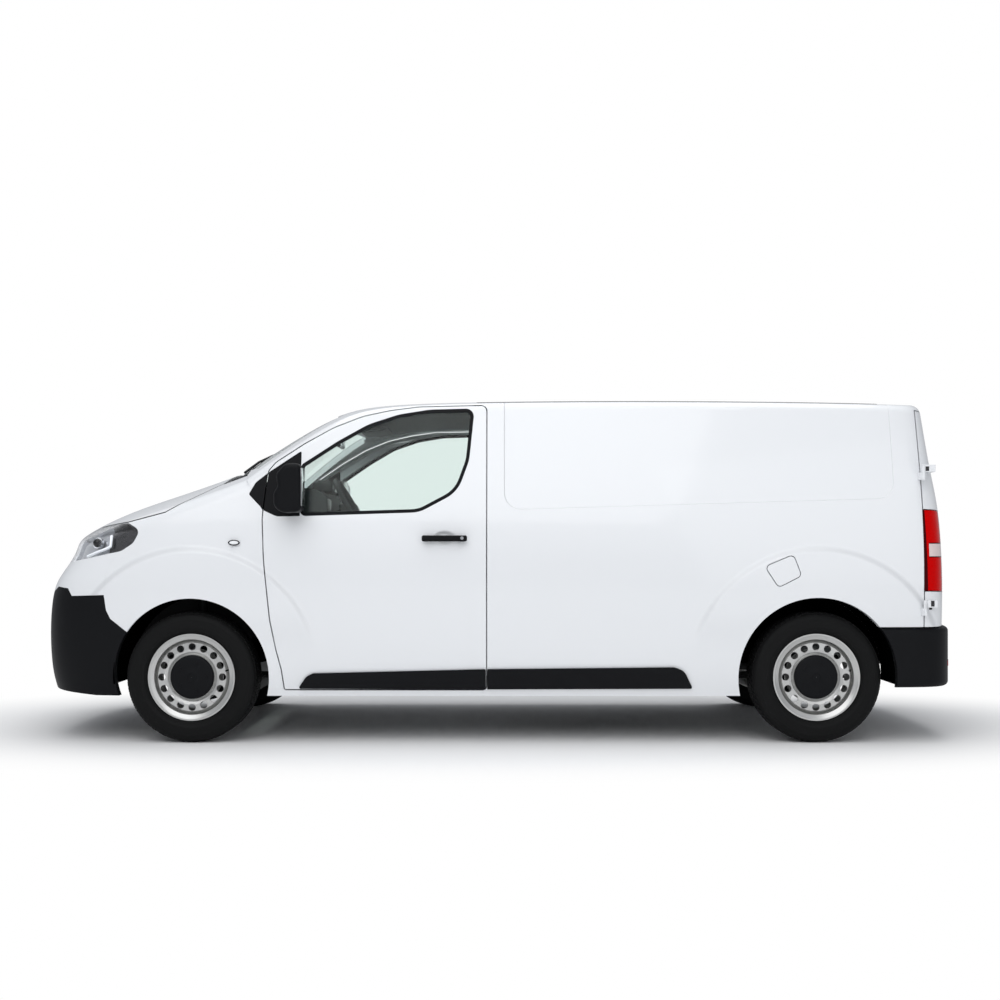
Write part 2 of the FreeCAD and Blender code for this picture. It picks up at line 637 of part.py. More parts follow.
CAB_TOP = max(CAB.Faces, key=lambda f: f.Area * (f.BoundBox.ZMin > 500 and f.BoundBox.YLength > WIDTH))
cowl = hollow(bonnet_form(10), bonnet_form(22)).common(
    plan_prism(rounded([(COWL_LINE + 6, -699), (FA + 420, -699), (FA + 420, 699), (COWL_LINE + 6, 699)], 0),
               1200, FAR))
cowl = cowl.cut([plan_prism(grown(SCREEN_OUTLINE, size.seat_gap), 0, FAR), block(FA, FAR, -FAR, FAR, 0, 1250),
                 block(FA + 264 - size.seat_gap, FAR, -FAR, FAR, 0, FAR)])
fixed_triangle = SKIN_LEFT.common(TRIANGLE).cut([DOOR_HOLE, block(FA + 500, FAR, -FAR, FAR, 0, FAR)])
fixed_triangle = solid(fixed_triangle)
wipers = []
WIPER_RADIUS = 7
WIPER_LIFT = 4.5
for pivot, tip in (((FA + 215, -560), (FA + 330, 30)), ((FA + 190, 60), (FA + 345, 610))):
    points = []
    for share in (0.0, 0.35, 0.7, 1.0):
        x = pivot[0] + share * (tip[0] - pivot[0])
        y = pivot[1] + share * (tip[1] - pivot[1])
        points.append(Vector(x, y, skin_height(x, y) + WIPER_LIFT))
    arm = tube(points[0], points[1], WIPER_RADIUS).fuse(
        [tube(points[k], points[k + 1], WIPER_RADIUS) for k in (1, 2)]
        + [Part.makeSphere(WIPER_RADIUS, points[k]) for k in (1, 2)])
    wipers.append(solid(arm))
feature("cowl", Part.makeCompound([solid(cowl), fixed_triangle, mirrored(fixed_triangle)] + wipers))

# Front doors with their glass, trim, mirrors and handles
DOOR_REACH_IN = 700.0
window_hole = side_prism(grown(WINDOW_OUTLINE, size.window_frame))
inner_outline = grown(DOOR_OUTLINE, -size.door_step)
door = SKIN_LEFT.common(side_prism(DOOR_OUTLINE)).fuse(DOOR_LEFT.common(side_prism(inner_outline)))
door = door.cut([window_hole, TRIANGLE, block(-FAR, FAR, -DOOR_REACH_IN, 0, 0, FAR)])
halves("door", solid(door))
glass = GLASS_LEFT.common(side_prism(grown(WINDOW_OUTLINE, -size.seat_gap)))
halves("door_glass", solid(glass))
window_ring = SKIN_LEFT.common(side_region(region(
    grown(WINDOW_OUTLINE, size.window_frame - size.seat_gap), [WINDOW_OUTLINE])))
plate = SKIN_LEFT.common(side_prism(DOOR_OUTLINE).common(side_prism(grown(TRIANGLE_OUTLINE, -size.seat_gap))))
plate = solid(plate.cut(window_hole))
MIRROR_X = FA + 459
MIRROR_OUTLINE = rounded(
    [(MIRROR_X + 144, 1204), (MIRROR_X + 144, 1454), (MIRROR_X + 62, 1454), (MIRROR_X + 14, 1400),
     (MIRROR_X + 22, 1332), (MIRROR_X + 2, 1306), (MIRROR_X, 1236), (MIRROR_X + 40, 1200)],
    [34, 34, 60, 50, 30, 30, 50, 60])
mirror_head = side_prism(MIRROR_OUTLINE, -1102, -955)
mirror_head = mirror_head.makeFillet(26, [e for e in mirror_head.Edges if e.BoundBox.YLength < 1])
mirror_arm = block(MIRROR_X + 25, MIRROR_X + 100, -975, -880, 1235, 1300).cut(CAB_IN)
mirror = solid(plate.fuse([mirror_head, mirror_arm.cut(cab_form(size.hem_depth / 2))]))
HANDLE_X = PILLAR - 333
handle = round_box(HANDLE_X, HANDLE_X + 235, -WIDTH - 32, -WIDTH - 8, 1054, 1086, 9)
handle = handle.fuse([block(HANDLE_X + 20, HANDLE_X + 60, -WIDTH - 20, -900, 1058, 1082),
                      block(HANDLE_X + 180, HANDLE_X + 220, -WIDTH - 20, -900, 1058, 1082)])
handle = solid(handle.cut(CAB_OUT))
STRIP_OUTLINE = rounded(
    [(PILLAR - 2, 281), (PILLAR - 2, 388), (FA + 640, 366), (FA + 605, 350), (FA + 560, 284)],
    [2, 6, 40, 60, 8])
strip = solid(STRIP_LEFT.common(side_prism(STRIP_OUTLINE)))
halves("door_trim", Part.makeCompound([solid(window_ring), mirror, handle, strip]))
BODY_STRIP = rounded(
    [(PILLAR + 6, 281), (PILLAR + 6, 388), (PILLAR + 985, 398), (PILLAR + 1035, 378), (PILLAR + 1081, 284)],
    [2, 6, 60, 60, 8])
body_strip = solid(STRIP_LEFT.common(side_prism(BODY_STRIP)))
feature("rub_strips", Part.makeCompound([body_strip, mirrored(body_strip)]))

# Rear doors, hinges, tail lamps and rear bumper
lamp_room = about_hinge(size.lamp_sweep + size.shut_gap, size.lamp_foot - size.shut_gap,
                        size.lamp_head + size.shut_gap)
rear_zone = block(REAR_LINE, FAR, -FAR, -HALF_GAP, size.bumper_top + size.shut_gap, REAR_DOOR_TOP)
rear_door = solid(REAR_LEFT.common(rear_zone).cut(lamp_room))
knuckles = []
for z in (size.hinge_foot, size.hinge_head):
    leaf = block(HINGE_X, HINGE_X + 62, -size.hinge_out - 2, -700, z + 2.5, z + 40)
    leaf = leaf.common(block(-FAR, FAR, hinge_point(z).y - 4, hinge_point(z).y + 110, 0, FAR))
    leaf = leaf.cut(CAB_LUG).fuse(about_hinge(BARREL, z + 1, z + BARREL_RUN))
    leaf = leaf.cut(block(-FAR, HINGE_X - 10, -FAR, FAR, 0, FAR))
    knuckles.append(leaf)
barrel_room = [about_hinge(BARREL + size.seat_gap, z - BARREL_RUN - size.shut_gap, z + 1)
               for z in (size.hinge_foot, size.hinge_head)]
rear_door = solid(rear_door.cut(barrel_room).fuse(knuckles))
halves("rear_door", rear_door)
tail_lamp = REAR_LEFT.common(about_hinge(size.lamp_sweep, size.lamp_foot, size.lamp_head))
tail_lamp = solid(tail_lamp.common(block(REAR_LINE - size.shut_gap + size.seat_gap, FAR, -FAR, 0, 0, FAR)))
feature("tail_lamps", Part.makeCompound([tail_lamp, mirrored(tail_lamp)]))


BOX_INNER = size.rear_arch + 6
BOX_OUTER = BOX_INNER + 12
BOX_REACH = 896.0


def bumper_plan(inset):
    """The rear bumper's plan outline, set in by a depth."""
    front = RA + 200
    rear = TAIL - inset
    w = WIDTH - 8 - inset
    poles = [(front, -w, 0), (rear - 560, -w, 0), (rear - 290, -w + 4, 0), (rear - 120, -w + 50, 0),
             (rear - 42, -w + 240, 0), (rear, -w + 560, 0), (rear, 0, 0)]
    other = [(x, -y, z) for x, y, z in reversed(poles)]
    return Part.Wire([spline(poles), spline(other), Part.makeLine(Vector(*other[-1]), Vector(*poles[0]))])


rear_bumper = plan_prism(bumper_plan(0), 292, size.bumper_top)
rear_bumper = rear_bumper.makeFillet(22, [e for e in rear_bumper.Edges
                                          if e.BoundBox.ZLength < 1 and e.BoundBox.XLength > 100])
rear_bumper = rear_bumper.cut([plan_prism(bumper_plan(size.bumper_depth), 250, size.bumper_top - 14),
                               REAR_ARCH, block(-FAR, RA + 300, -FAR, FAR, 0, FAR)])
rear_bumper = rear_bumper.cut([block(-FAR, REAR_LINE - 20, -700, 700, 0, FAR),
                               disc(RA, ARCH_HEIGHT, BOX_OUTER + size.seat_gap, -BOX_REACH, BOX_REACH)])
feature("bumper_rear", solid(rear_bumper))


# Floor pan with rails, steps, rear wheel boxes and the front crash beam
def wheel_ring(x, inner, outer, y0, y1):
    """A round wheel-house sheet about an axle line."""
    return disc(x, ARCH_HEIGHT, outer, y0, y1).cut(disc(x, ARCH_HEIGHT, inner, y0, y1))


CAB_LEFT = near(CAB_FIT)
BAY_INNER = size.front_arch + 8
BAY_OUTER = BAY_INNER + 10
FLOOR_UNDER = size.floor_top - size.floor_depth
CAB_FLOOR_UNDER = size.cab_floor_top - size.floor_depth
FIREWALL = FA + 290
STEP_OUT = 826.0
RAIL_OUT = size.bay_half
RAIL_IN = size.bay_half - size.rail_width
load_floor = CAB_LEFT.common(block(BULKHEAD + 12, REAR_LINE - 20, -FAR, 0, FLOOR_UNDER, size.floor_top))
bulkhead_seat = CAB_LEFT.common(block(BULKHEAD, BULKHEAD + 12, -FAR, -STEP_OUT, FLOOR_UNDER, size.floor_top))
cab_floor = block(FIREWALL, BULKHEAD + 12, -STEP_OUT, 0, CAB_FLOOR_UNDER, size.cab_floor_top)
riser = block(BULKHEAD, BULKHEAD + 12, -STEP_OUT, 0, CAB_FLOOR_UNDER, size.floor_top)
step = block(FIREWALL, BULKHEAD + 12, -STEP_OUT, -STEP_OUT + 12, size.sill_height, size.cab_floor_top)
sill_flange = CAB_LEFT.common(block(FIREWALL, BULKHEAD + 12, -FAR, -STEP_OUT + 12,
                                    size.sill_height, size.sill_height + 30))
RAIL_FOOT = CAB_FLOOR_UNDER - 90
rails = [block(x0, x1, -RAIL_OUT, -RAIL_IN, z0, z1) for x0, x1, z0, z1 in (
    (NOSE + 130, FIREWALL - size.seat_gap, CAB_FLOOR_UNDER, FLOOR_UNDER),
    (FIREWALL - 60, FIREWALL - size.seat_gap, RAIL_FOOT, FLOOR_UNDER),
    (FIREWALL - 60, BULKHEAD + 60, RAIL_FOOT, CAB_FLOOR_UNDER),
    (BULKHEAD, BULKHEAD + 60, RAIL_FOOT, FLOOR_UNDER),
    (BULKHEAD, TAIL - 150, CAB_FLOOR_UNDER, FLOOR_UNDER))]
beam = block(NOSE + 90, NOSE + 130, -RAIL_OUT, 0, CAB_FLOOR_UNDER, FLOOR_UNDER)
floor = load_floor.fuse([bulkhead_seat, cab_floor, riser, step, sill_flange])
floor = floor.cut([disc(RA, ARCH_HEIGHT, BOX_INNER, -FAR, -size.box_half),
                   disc(FA, ARCH_HEIGHT, BAY_OUTER + size.seat_gap, -FAR, -RAIL_OUT)])
box_ring = CAB_LEFT.common(wheel_ring(RA, BOX_INNER, BOX_OUTER, -FAR, -size.box_half))
box_side = disc(RA, ARCH_HEIGHT, BOX_OUTER, -size.box_half, -size.box_half + 12)
box = box_ring.fuse(box_side).cut(block(-FAR, FAR, -FAR, FAR, 0, FLOOR_UNDER))
floor = floor.fuse([box, beam] + rails)
floor = floor.fuse(mirrored(floor))
feature("floor_pan", solid(floor))

# Bulkhead behind the seats
bulkhead = CAB_LEFT.common(block(BULKHEAD, BULKHEAD + size.bulkhead_depth, -FAR, 0,
                                 size.floor_top + size.seat_gap, FAR))
swages = [block(BULKHEAD - 1, BULKHEAD + 3, -760 + 90 * k, -715 + 90 * k, size.floor_top + 120, 1560)
          for k in range(8)]
bulkhead = bulkhead.cut(swages)
feature("bulkhead", solid(bulkhead.fuse(mirrored(bulkhead))))

# Steering's ball joints, foot and head
BALL = 22.0
FOOT_BALL = (FA, -720.0, 205.0)
HEAD_BALL = (FA, -600.0, 975.0)

# Engine bay: firewall, wheel houses and strut towers
firewall = CAB_LEFT.common(block(FIREWALL, FIREWALL + 10, -FAR, 0, size.cab_floor_top + size.seat_gap, 1290))
firewall = firewall.cut(disc(FA, ARCH_HEIGHT, BAY_OUTER, -FAR, -size.bay_half))
BAY_FORM = near(bonnet_form(size.skin + size.seat_gap))
strut_way = tube((FA, -630, 730), (FA, -622, 800), 54)
bay_ring = BAY_FORM.common(wheel_ring(FA, BAY_INNER, BAY_OUTER, -FAR, -size.bay_half))
bay_ring = bay_ring.cut([bumper_room, block(-FAR, FAR, -FAR, FAR, 0, 300), lamp_zone,
                         block(FA + 300, FAR, -FAR, -860, 0, FAR), strut_way])
bay_side = disc(FA, ARCH_HEIGHT, BAY_OUTER, -size.bay_half - 10, -size.bay_half)
bay_side = bay_side.cut(lower_cut(FLOOR_UNDER))
tower = tube((FA, -600, 900), (FA, -600, 1000), 85).cut(tube((FA, -600, 890), (FA, -600, 990), 75))
tower = tower.cut(Part.makeSphere(BALL + size.seat_gap, Vector(*HEAD_BALL)))
bay_wall = block(FA - 450, FIREWALL, -size.bay_half - 10, -size.bay_half, 740, 960)
shelf = block(FA - 85, FA + 85, -700, -size.bay_half, 900, 910).cut(tube((FA, -600, 890), (FA, -600, 920), 75))
strut_leg = block(FA - 85, FA + 85, -700, -690, 750, 910)
bay = firewall.fuse([bay_ring, bay_side, tower, bay_wall, shelf, strut_leg])
feature("engine_bay", Part.makeCompound(bay.fuse(mirrored(bay)).Solids))

# Running gear below the body
hub_y = size.track_half - 70


def bound(kind, label, lengths, at, direction=Vector(0, 0, 1)):
    """A Part primitive whose sizes are bound to the sheet."""
    item = doc.addObject("Part::" + kind, label)
    for name, rule in lengths.items():
        item.setExpression(name, rule)
    item.Placement = Placement(Vector(*at), Rotation(Vector(0, 0, 1), direction))
    return item


cross = block(FA + 70, FA + 200, -430, 430, 190, 255)
cross = cross.fuse([block(FA + 90, FA + 180, s * 470 - 25, s * 470 + 25, 200, CAB_FLOOR_UNDER - size.seat_gap)
                    for s in (-1, 1)] + [block(FA + 90, FA + 180, -495, 495, 200, 245)])
for s in (-1, 1):
    cross = cross.fuse([tube((FA + 130, s * 400, 222), (FA, s * 720, 205), 15),
                        tube((FA - 40, s * 470, 222), (FA, s * 720, 205), 14),
                        tube((FA - 40, s * 470, 200), (FA - 40, s * 470, CAB_FLOOR_UNDER - size.seat_gap), 20)])
    cross = cross.cut(Part.makeSphere(BALL + size.seat_gap, Vector(FA, s * 720, 205)))
feature("front_subframe", solid(cross))
PIVOT_HEIGHT = CAB_FLOOR_UNDER - 36
shafts = []
for s in (-1, 1):
    shafts += [tube((FA, s * 200.3, size.axle_height), (FA, s * (hub_y - 60), size.axle_height), 14)]
rear = tube((RA, -hub_y, size.axle_height), (RA, hub_y, size.axle_height), 36)
for s in (-1, 1):
    rear = rear.fuse([
        tube((RA, s * 560, size.axle_height), (RA - 470, s * 520, PIVOT_HEIGHT), 26),
        tube((RA - 470, s * 470, PIVOT_HEIGHT), (RA - 470, s * 560, PIVOT_HEIGHT), 34),
        block(RA - 500, RA - 440, s * 470 - 28, s * 470 + 28, PIVOT_HEIGHT, CAB_FLOOR_UNDER - size.seat_gap),
        tube((RA, s * 470, size.axle_height), (RA, s * 470, CAB_FLOOR_UNDER - size.seat_gap), 52),
        tube((RA, s * (hub_y - 12), size.axle_height), (RA, s * hub_y, size.axle_height), 62),
        tube((RA, s * hub_y, size.axle_height), (RA, s * (hub_y + 55), size.axle_height), size.spindle_radius),
    ])
feature("rear_axle", solid(rear))
knuckle = tube((FA, -hub_y + 40, size.axle_height), (FA, -hub_y, size.axle_height), 66)
knuckle = knuckle.fuse([
    tube((FA, -hub_y, size.axle_height), (FA, -hub_y - 55, size.axle_height), size.spindle_radius),
    block(FA - 16, FA + 16, -736, -704, 224, size.axle_height),
    Part.makeSphere(BALL, Vector(*FOOT_BALL)),
    block(FA - 28, FA + 28, -705, -640, size.axle_height + 20, 470),
    tube((FA, -655, 440), (FA, -608, 880), 26),
    tube((FA, -609, 870), HEAD_BALL, 12),
    Part.makeSphere(BALL, Vector(*HEAD_BALL)),
    block(FA, FA + 120, -705, -675, size.axle_height - 52, size.axle_height - 21),
])
halves("knuckle", solid(knuckle))

# Engine and gearbox as one plain block at their place, with the drive shafts
engine_parts = [
    bound("Box", "EngineBlock", {"Length": "410 mm", "Width": "760 mm", "Height": "670 mm"}, (FA - 500, -400, 320)),
    bound("Box", "GearboxBlock", {"Length": "190 mm", "Width": "400 mm", "Height": "155 mm"}, (FA - 120, -200, 265)),
]
for label, side in SIDES:
    engine_parts.append(bound("Cylinder", "Shaft_" + label, {"Radius": "14 mm", "Height": "Sizes.track_half - 329"},
                              (FA, side * 199, size.axle_height), Vector(0, side, 0)))
engine = doc.addObject("Part::MultiFuse", "Engine")
engine.Shapes = engine_parts
engine.Label = "engine"
parts.append(engine)
radiator = bound("Box", "Radiator", {"Length": "50 mm", "Height": "550 mm",
                                      "Width": "2 * (Sizes.bay_half - Sizes.rail_width - Sizes.seat_gap)"},
                 (NOSE + 190, size.seat_gap - RAIL_IN, CAB_FLOOR_UNDER - 90))
radiator.Label = "radiator"
parts.append(radiator)

# Exhaust and fuel tank under the floor
pipe_z = 250.0
exhaust = tube((FA + 210, 250, pipe_z), (BULKHEAD + 800, 250, pipe_z), 26)
exhaust = exhaust.fuse([
    round_box(BULKHEAD + 780, BULKHEAD + 1200, 150, 350, pipe_z - 70, pipe_z + 70, 40),
    tube((BULKHEAD + 1190, 250, pipe_z), (RA + 640, 250, pipe_z), 22),
    tube((BULKHEAD + 990, 250, pipe_z), (BULKHEAD + 990, 250, FLOOR_UNDER - size.seat_gap), 8),
    tube((FA + 700, 250, pipe_z), (FA + 700, 250, CAB_FLOOR_UNDER - size.seat_gap), 8),
    tube((RA + 480, 250, pipe_z), (RA + 480, 250, FLOOR_UNDER - size.seat_gap), 8),
])
feature("exhaust", solid(exhaust))
tank_block = bound("Box", "TankBlock",
                   {"Length": "800 mm", "Width": "490 mm", "Height": "Sizes.floor_top - Sizes.floor_depth - 262"},
                   (BULKHEAD + 30, -410, 262 - size.seat_gap))
tank = doc.addObject("Part::Fillet", "FuelTank")
tank.Base = tank_block
doc.recompute()
tank.Edges = [(k + 1, 30.0, 30.0) for k in range(len(tank_block.Shape.Edges))]
tank.Label = "fuel_tank"
parts.append(tank)

# Dashboard, steering wheel and seats
DASH_FRONT = FIREWALL + 10 + size.seat_gap - FA
DASH_OUTLINE = rounded(at_front([(DASH_FRONT, 880), (DASH_FRONT, 1310), (400, 1352), (640, 1335), (700, 1290), (690, 1160),
                                 (620, 1040), (600, 860), (480, 800)]),
                       [10, 30, 60, 60, 60, 60, 60, 60, 60])
dash = side_prism(DASH_OUTLINE, -790, 790)
STEER_HUB = Vector(FA + 790, -400, stretched(1235))
STEER_AXIS = Vector(-math.cos(math.radians(30)), 0, -math.sin(math.radians(30)))
column_start = STEER_HUB + STEER_AXIS * 60
column = tube(tuple(column_start), tuple(STEER_HUB + STEER_AXIS * 260), 38)
feature("dashboard", solid(dash.fuse(column)))
torus = Part.makeTorus(size.wheel_rim_radius, size.wheel_grip, STEER_HUB, STEER_AXIS)
hub = Part.makeCylinder(62, 45, STEER_HUB + STEER_AXIS * 10, STEER_AXIS)
spokes = []
frame_turn = Rotation(Vector(0, 0, 1), STEER_AXIS)
for angle in (0, 90, 180):
    turn = Rotation(STEER_AXIS, angle)
    reach = turn.multVec(frame_turn.multVec(Vector(1, 0, 0)))
    start = STEER_HUB + STEER_AXIS * 28
    spokes.append(tube(tuple(start + reach * 40), tuple(STEER_HUB + reach * (size.wheel_rim_radius - 3)), 11))
stub = Part.makeCylinder(14, 5.2, STEER_HUB + STEER_AXIS * 54.5, STEER_AXIS)
feature("steering_wheel", solid(torus.fuse([hub, stub] + spokes)))


def seat(label, y0, width, heads):
    """A seat on its box: cushion, leaning back and head restraints."""
    back = BULKHEAD - 12.0
    outline = rounded([(back - 620, 835), (back - 610, 955), (back - 200, 930), (back - 90, 1500),
                       (back - 10, 1510), (back - 60, 835)], [40, 45, 60, 40, 40, 40])
    form = side_prism(outline, y0, y0 + width)
    base = block(back - 520, back - 90, y0 + 50, y0 + width - 50, size.cab_floor_top + size.seat_gap, 840)
    form = form.fuse(base)
    for middle_y in heads:
        form = form.fuse([round_box(back - 98, back - 8, middle_y - 125, middle_y + 125, 1545, 1720, 35),
                          tube((back - 52, middle_y - 50, 1495), (back - 52, middle_y - 50, 1560), 7),
                          tube((back - 52, middle_y + 50, 1495), (back - 52, middle_y + 50, 1560), 7)])
    feature(label, solid(form))


seat("seat_driver", -400 - size.seat_width / 2, size.seat_width, [-400])
seat("seat_bench", -100, size.bench_width - 40, [130, 560])


# Wheels
def body_plane(body, role):
    """One of a body's own origin planes."""
    return [item for item in body.Origin.OriginFeatures if item.Role == role][0]


def closed_sketch(body, name, points, role="XZ_Plane"):
    """A sketch of a closed outline through points."""
    sketch = body.newObject("Sketcher::SketchObject", name)
    sketch.AttachmentSupport = [(body_plane(body, role), "")]
    sketch.MapMode = "FlatFace"
    count = len(points)
    for i in range(count):
        a = points[i]
        b = points[(i + 1) % count]
        sketch.addGeometry(Part.LineSegment(Vector(a[0], a[1], 0), Vector(b[0], b[1], 0)), False)
    for i in range(count):
        sketch.addConstraint(Sketcher.Constraint("Coincident", i, 2, (i + 1) % count, 1))
    return sketch


def turned(body, sketch, name):
    """A full turn of a sketch about its vertical axis."""
    spun = body.newObject("PartDesign::Revolution", name)
    spun.Profile = sketch
    spun.ReferenceAxis = (sketch, ["V_Axis"])
    spun.Angle = 360
    body.Tip = spun
    return spun


def rim_points():
    """Section of rim, disc, hub and brake disc: radius and distance outboard of the wheel's middle."""
    lip = size.rim_flange
    half = size.rim_width / 2.0
    skin = size.rim_wall
    seat_radius = 203.0
    well = 173.0
    bore = size.spindle_radius + size.seat_gap
    face = 72.0
    cap = size.cap_radius
    return [
        (0, face + 8), (cap - 12, face + 5), (cap, face - 3), (cap + 3, face - 14),
        (cap + 16, face - 4), (cap + 30, face), (size.vent_circle + 20, face - 2),
        (size.vent_circle + 29, face - 14), (seat_radius - skin, face - 28), (seat_radius - skin, half - 12),
        (lip - 12, half - 3), (lip - 8, half), (lip, half), (lip, half - skin), (lip - 7, half - skin),
        (seat_radius + 2, half - 14), (seat_radius, 24), (well + skin, 4), (well + skin, -24),
        (seat_radius, -46), (seat_radius + 2, 14 - half), (lip - 7, skin - half), (lip, skin - half),
        (lip, -half), (lip - 9, -half), (seat_radius - skin, 10 - half), (seat_radius - skin, -48),
        (well, -26), (well, 6), (seat_radius - skin - 1, 27), (seat_radius - 11, face - 36),
        (size.vent_circle + 24, face - 22), (size.vent_circle + 16, face - 9), (cap + 31, face - 7),
        (cap + 18, face - 11), (cap - 20, 46), (70, 40), (70, -28), (142, -28), (142, -44), (70, -44),
        (70, -64), (bore, -64), (bore, -10), (0, -10),
    ]


def wheel(label, x, side):
    """A pressed steel wheel: turned section, then a ring of vent holes."""
    body = doc.addObject("PartDesign::Body", "Rim_" + label)
    section = closed_sketch(body, "RimSection_" + label, rim_points())
    turned(body, section, "RimTurned_" + label)
    doc.recompute()
    before = body.Shape.Volume
    holes = body.newObject("Sketcher::SketchObject", "VentHole_" + label)
    holes.AttachmentSupport = [(body_plane(body, "XY_Plane"), "")]
    holes.MapMode = "FlatFace"
    holes.AttachmentOffset = Placement(Vector(0, 0, 36), Rotation())
    holes.addGeometry(Part.Circle(Vector(size.vent_circle, 0, 0), Vector(0, 0, 1), size.vent_hole), False)
    holes.addConstraint(Sketcher.Constraint("PointOnObject", 0, 3, -1))
    reach = holes.addConstraint(Sketcher.Constraint("DistanceX", -1, 1, 0, 3, size.vent_circle))
    holes.setExpression("Constraints[%d]" % reach, "Sizes.vent_circle")
    wide = holes.addConstraint(Sketcher.Constraint("Radius", 0, size.vent_hole))
    holes.setExpression("Constraints[%d]" % wide, "Sizes.vent_hole")
    cut = body.newObject("PartDesign::Pocket", "Vent_" + label)
    cut.Profile = holes
    cut.Type = 1
    cut.Reversed = True
    doc.recompute()
    ring = body.newObject("PartDesign::PolarPattern", "VentRing_" + label)
    ring.Originals = [cut]
    ring.Axis = (holes, ["N_Axis"])
    ring.Angle = 360
    ring.Occurrences = int(size.vent_count)
    body.Tip = ring
    doc.recompute()
    if body.Shape.Volume > before - 100:
        raise RuntimeError("the vent holes cut nothing")
    body.Label = "rim_" + label
    body.Placement = Placement(Vector(x, side * size.track_half, size.axle_height),
                               Rotation(Vector(1, 0, 0), -side * 90))
    parts.append(body)


def tyre_points():
    """Half section of a tyre: radius and distance from its middle, outside then inside."""
    half = size.tyre_width / 2.0
    outer = size.axle_height
    bead = size.rim_width / 2.0 - size.rim_wall - size.seat_gap
    seat_radius = 203.0 + size.seat_gap
    right = [
        (seat_radius + 2, bead - 20), (seat_radius + 3, bead - 9), (size.rim_flange - 6, bead),
        (size.rim_flange + 3, bead), (size.rim_flange + 12, half - 8), (size.rim_flange + 32, half - 1),
        (size.rim_flange + 50, half), (outer - 42, half - 4), (outer - 20, half - 12), (outer - 5, half - 22),
        (outer, half - 36),
    ]
    inside = [
        (outer - 14, 0), (outer - 15, half - 40), (outer - 30, half - 22), (size.rim_flange + 45, half - 12),
        (size.rim_flange + 14, half - 20), (seat_radius + 10, bead - 22),
    ]
    return ([(r, d) for r, d in right] + [(r, -d) for r, d in reversed(right)]
            + [(r, -d) for r, d in reversed(inside[1:])] + [inside[0]] + inside[1:])


def tyre(label, x, side):
    """A tyre turned about its axle, open towards the rim."""
    body = doc.addObject("PartDesign::Body", "Tyre_" + label)
    section = closed_sketch(body, "TyreSection_" + label, tyre_points())
    turned(body, section, "TyreTurned_" + label)
    body.Label = "tyre_" + label
    body.Placement = Placement(Vector(x, side * size.track_half, size.axle_height),
                               Rotation(Vector(1, 0, 0), -side * 90))
    parts.append(body)


for label, x, side in (("front_left", FA, LEFT), ("front_right", FA, RIGHT),
                       ("rear_left", RA, LEFT), ("rear_right", RA, RIGHT)):
    wheel(label, x, side)
    tyre(label, x, side)

doc.recompute()
for item in doc.Objects:
    if "Invalid" in item.State or "Error" in item.State:
        raise RuntimeError(item.Name + " did not build")
os.makedirs("parts", exist_ok=True)
for item in parts:
    if item.Shape.isNull() or not item.Shape.isValid() or not item.Shape.Solids:
        raise RuntimeError(item.Label + " has no sound shape")
for item in parts:
    item.Shape.exportStep("parts/" + item.Label + ".step")
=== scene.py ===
"""Looks of a panel van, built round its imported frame."""

import logging
import math
from dataclasses import dataclass
from enum import Enum
from typing import Callable, Dict, Iterable, List, Optional, Sequence, Tuple

import bmesh
import bpy
from mathutils import Matrix, Vector
from mathutils.bvhtree import BVHTree


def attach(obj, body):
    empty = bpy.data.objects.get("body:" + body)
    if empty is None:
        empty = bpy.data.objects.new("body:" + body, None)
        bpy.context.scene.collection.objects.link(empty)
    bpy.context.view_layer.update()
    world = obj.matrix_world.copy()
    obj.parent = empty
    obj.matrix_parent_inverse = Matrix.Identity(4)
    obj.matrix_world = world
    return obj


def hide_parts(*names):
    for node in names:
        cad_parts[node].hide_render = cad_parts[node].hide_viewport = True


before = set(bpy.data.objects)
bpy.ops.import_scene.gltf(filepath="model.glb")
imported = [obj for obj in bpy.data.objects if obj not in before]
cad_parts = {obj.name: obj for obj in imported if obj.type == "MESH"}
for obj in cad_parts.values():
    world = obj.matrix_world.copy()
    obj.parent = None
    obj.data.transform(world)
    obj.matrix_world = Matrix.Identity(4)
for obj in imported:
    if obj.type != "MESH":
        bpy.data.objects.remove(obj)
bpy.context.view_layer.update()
LOG = logging.getLogger("van")

Point = Tuple[float, float, float]
Pair = Tuple[float, float]

FRONT_AXLE = -1.590
REAR_AXLE = 1.685
AXLE_HEIGHT = 0.343
ARCH_HEIGHT = 0.349
TRACK = 0.814
SIDES = (("left", -1), ("right", 1))
WHEELS = (
    ("front_left", FRONT_AXLE, -1),
    ("front_right", FRONT_AXLE, 1),
    ("rear_left", REAR_AXLE, -1),
    ("rear_right", REAR_AXLE, 1),
)


class Slot(Enum):
    """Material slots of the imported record."""

    PAINT = "body_white"
    GLASS = "tinted_glass"
    TRIM = "black_plastic"
    CLEAR = "clear_lens"
    RED = "red_lens"
    PRIMER = "primed_metal"
    IRON = "chassis_iron"
    TANK = "tank_plastic"
    CABIN = "cabin_plastic"
    CLOTH = "seat_cloth"
    TYRE = "tyre_rubber"


@dataclass(frozen=True)
class Finish:
    """What a surface is made of, as the shader takes it."""

    name: str
    colour: Tuple[float, float, float]
    roughness: float = 0.4
    metallic: float = 0.0
    coat: float = 0.0
    transmission: float = 0.0
    ior: float = 1.5
    grain_size: float = 0.0
    grain_depth: float = 0.0
    edge: float = 0.0
    sheen: float = 0.0
    specular: float = 0.5


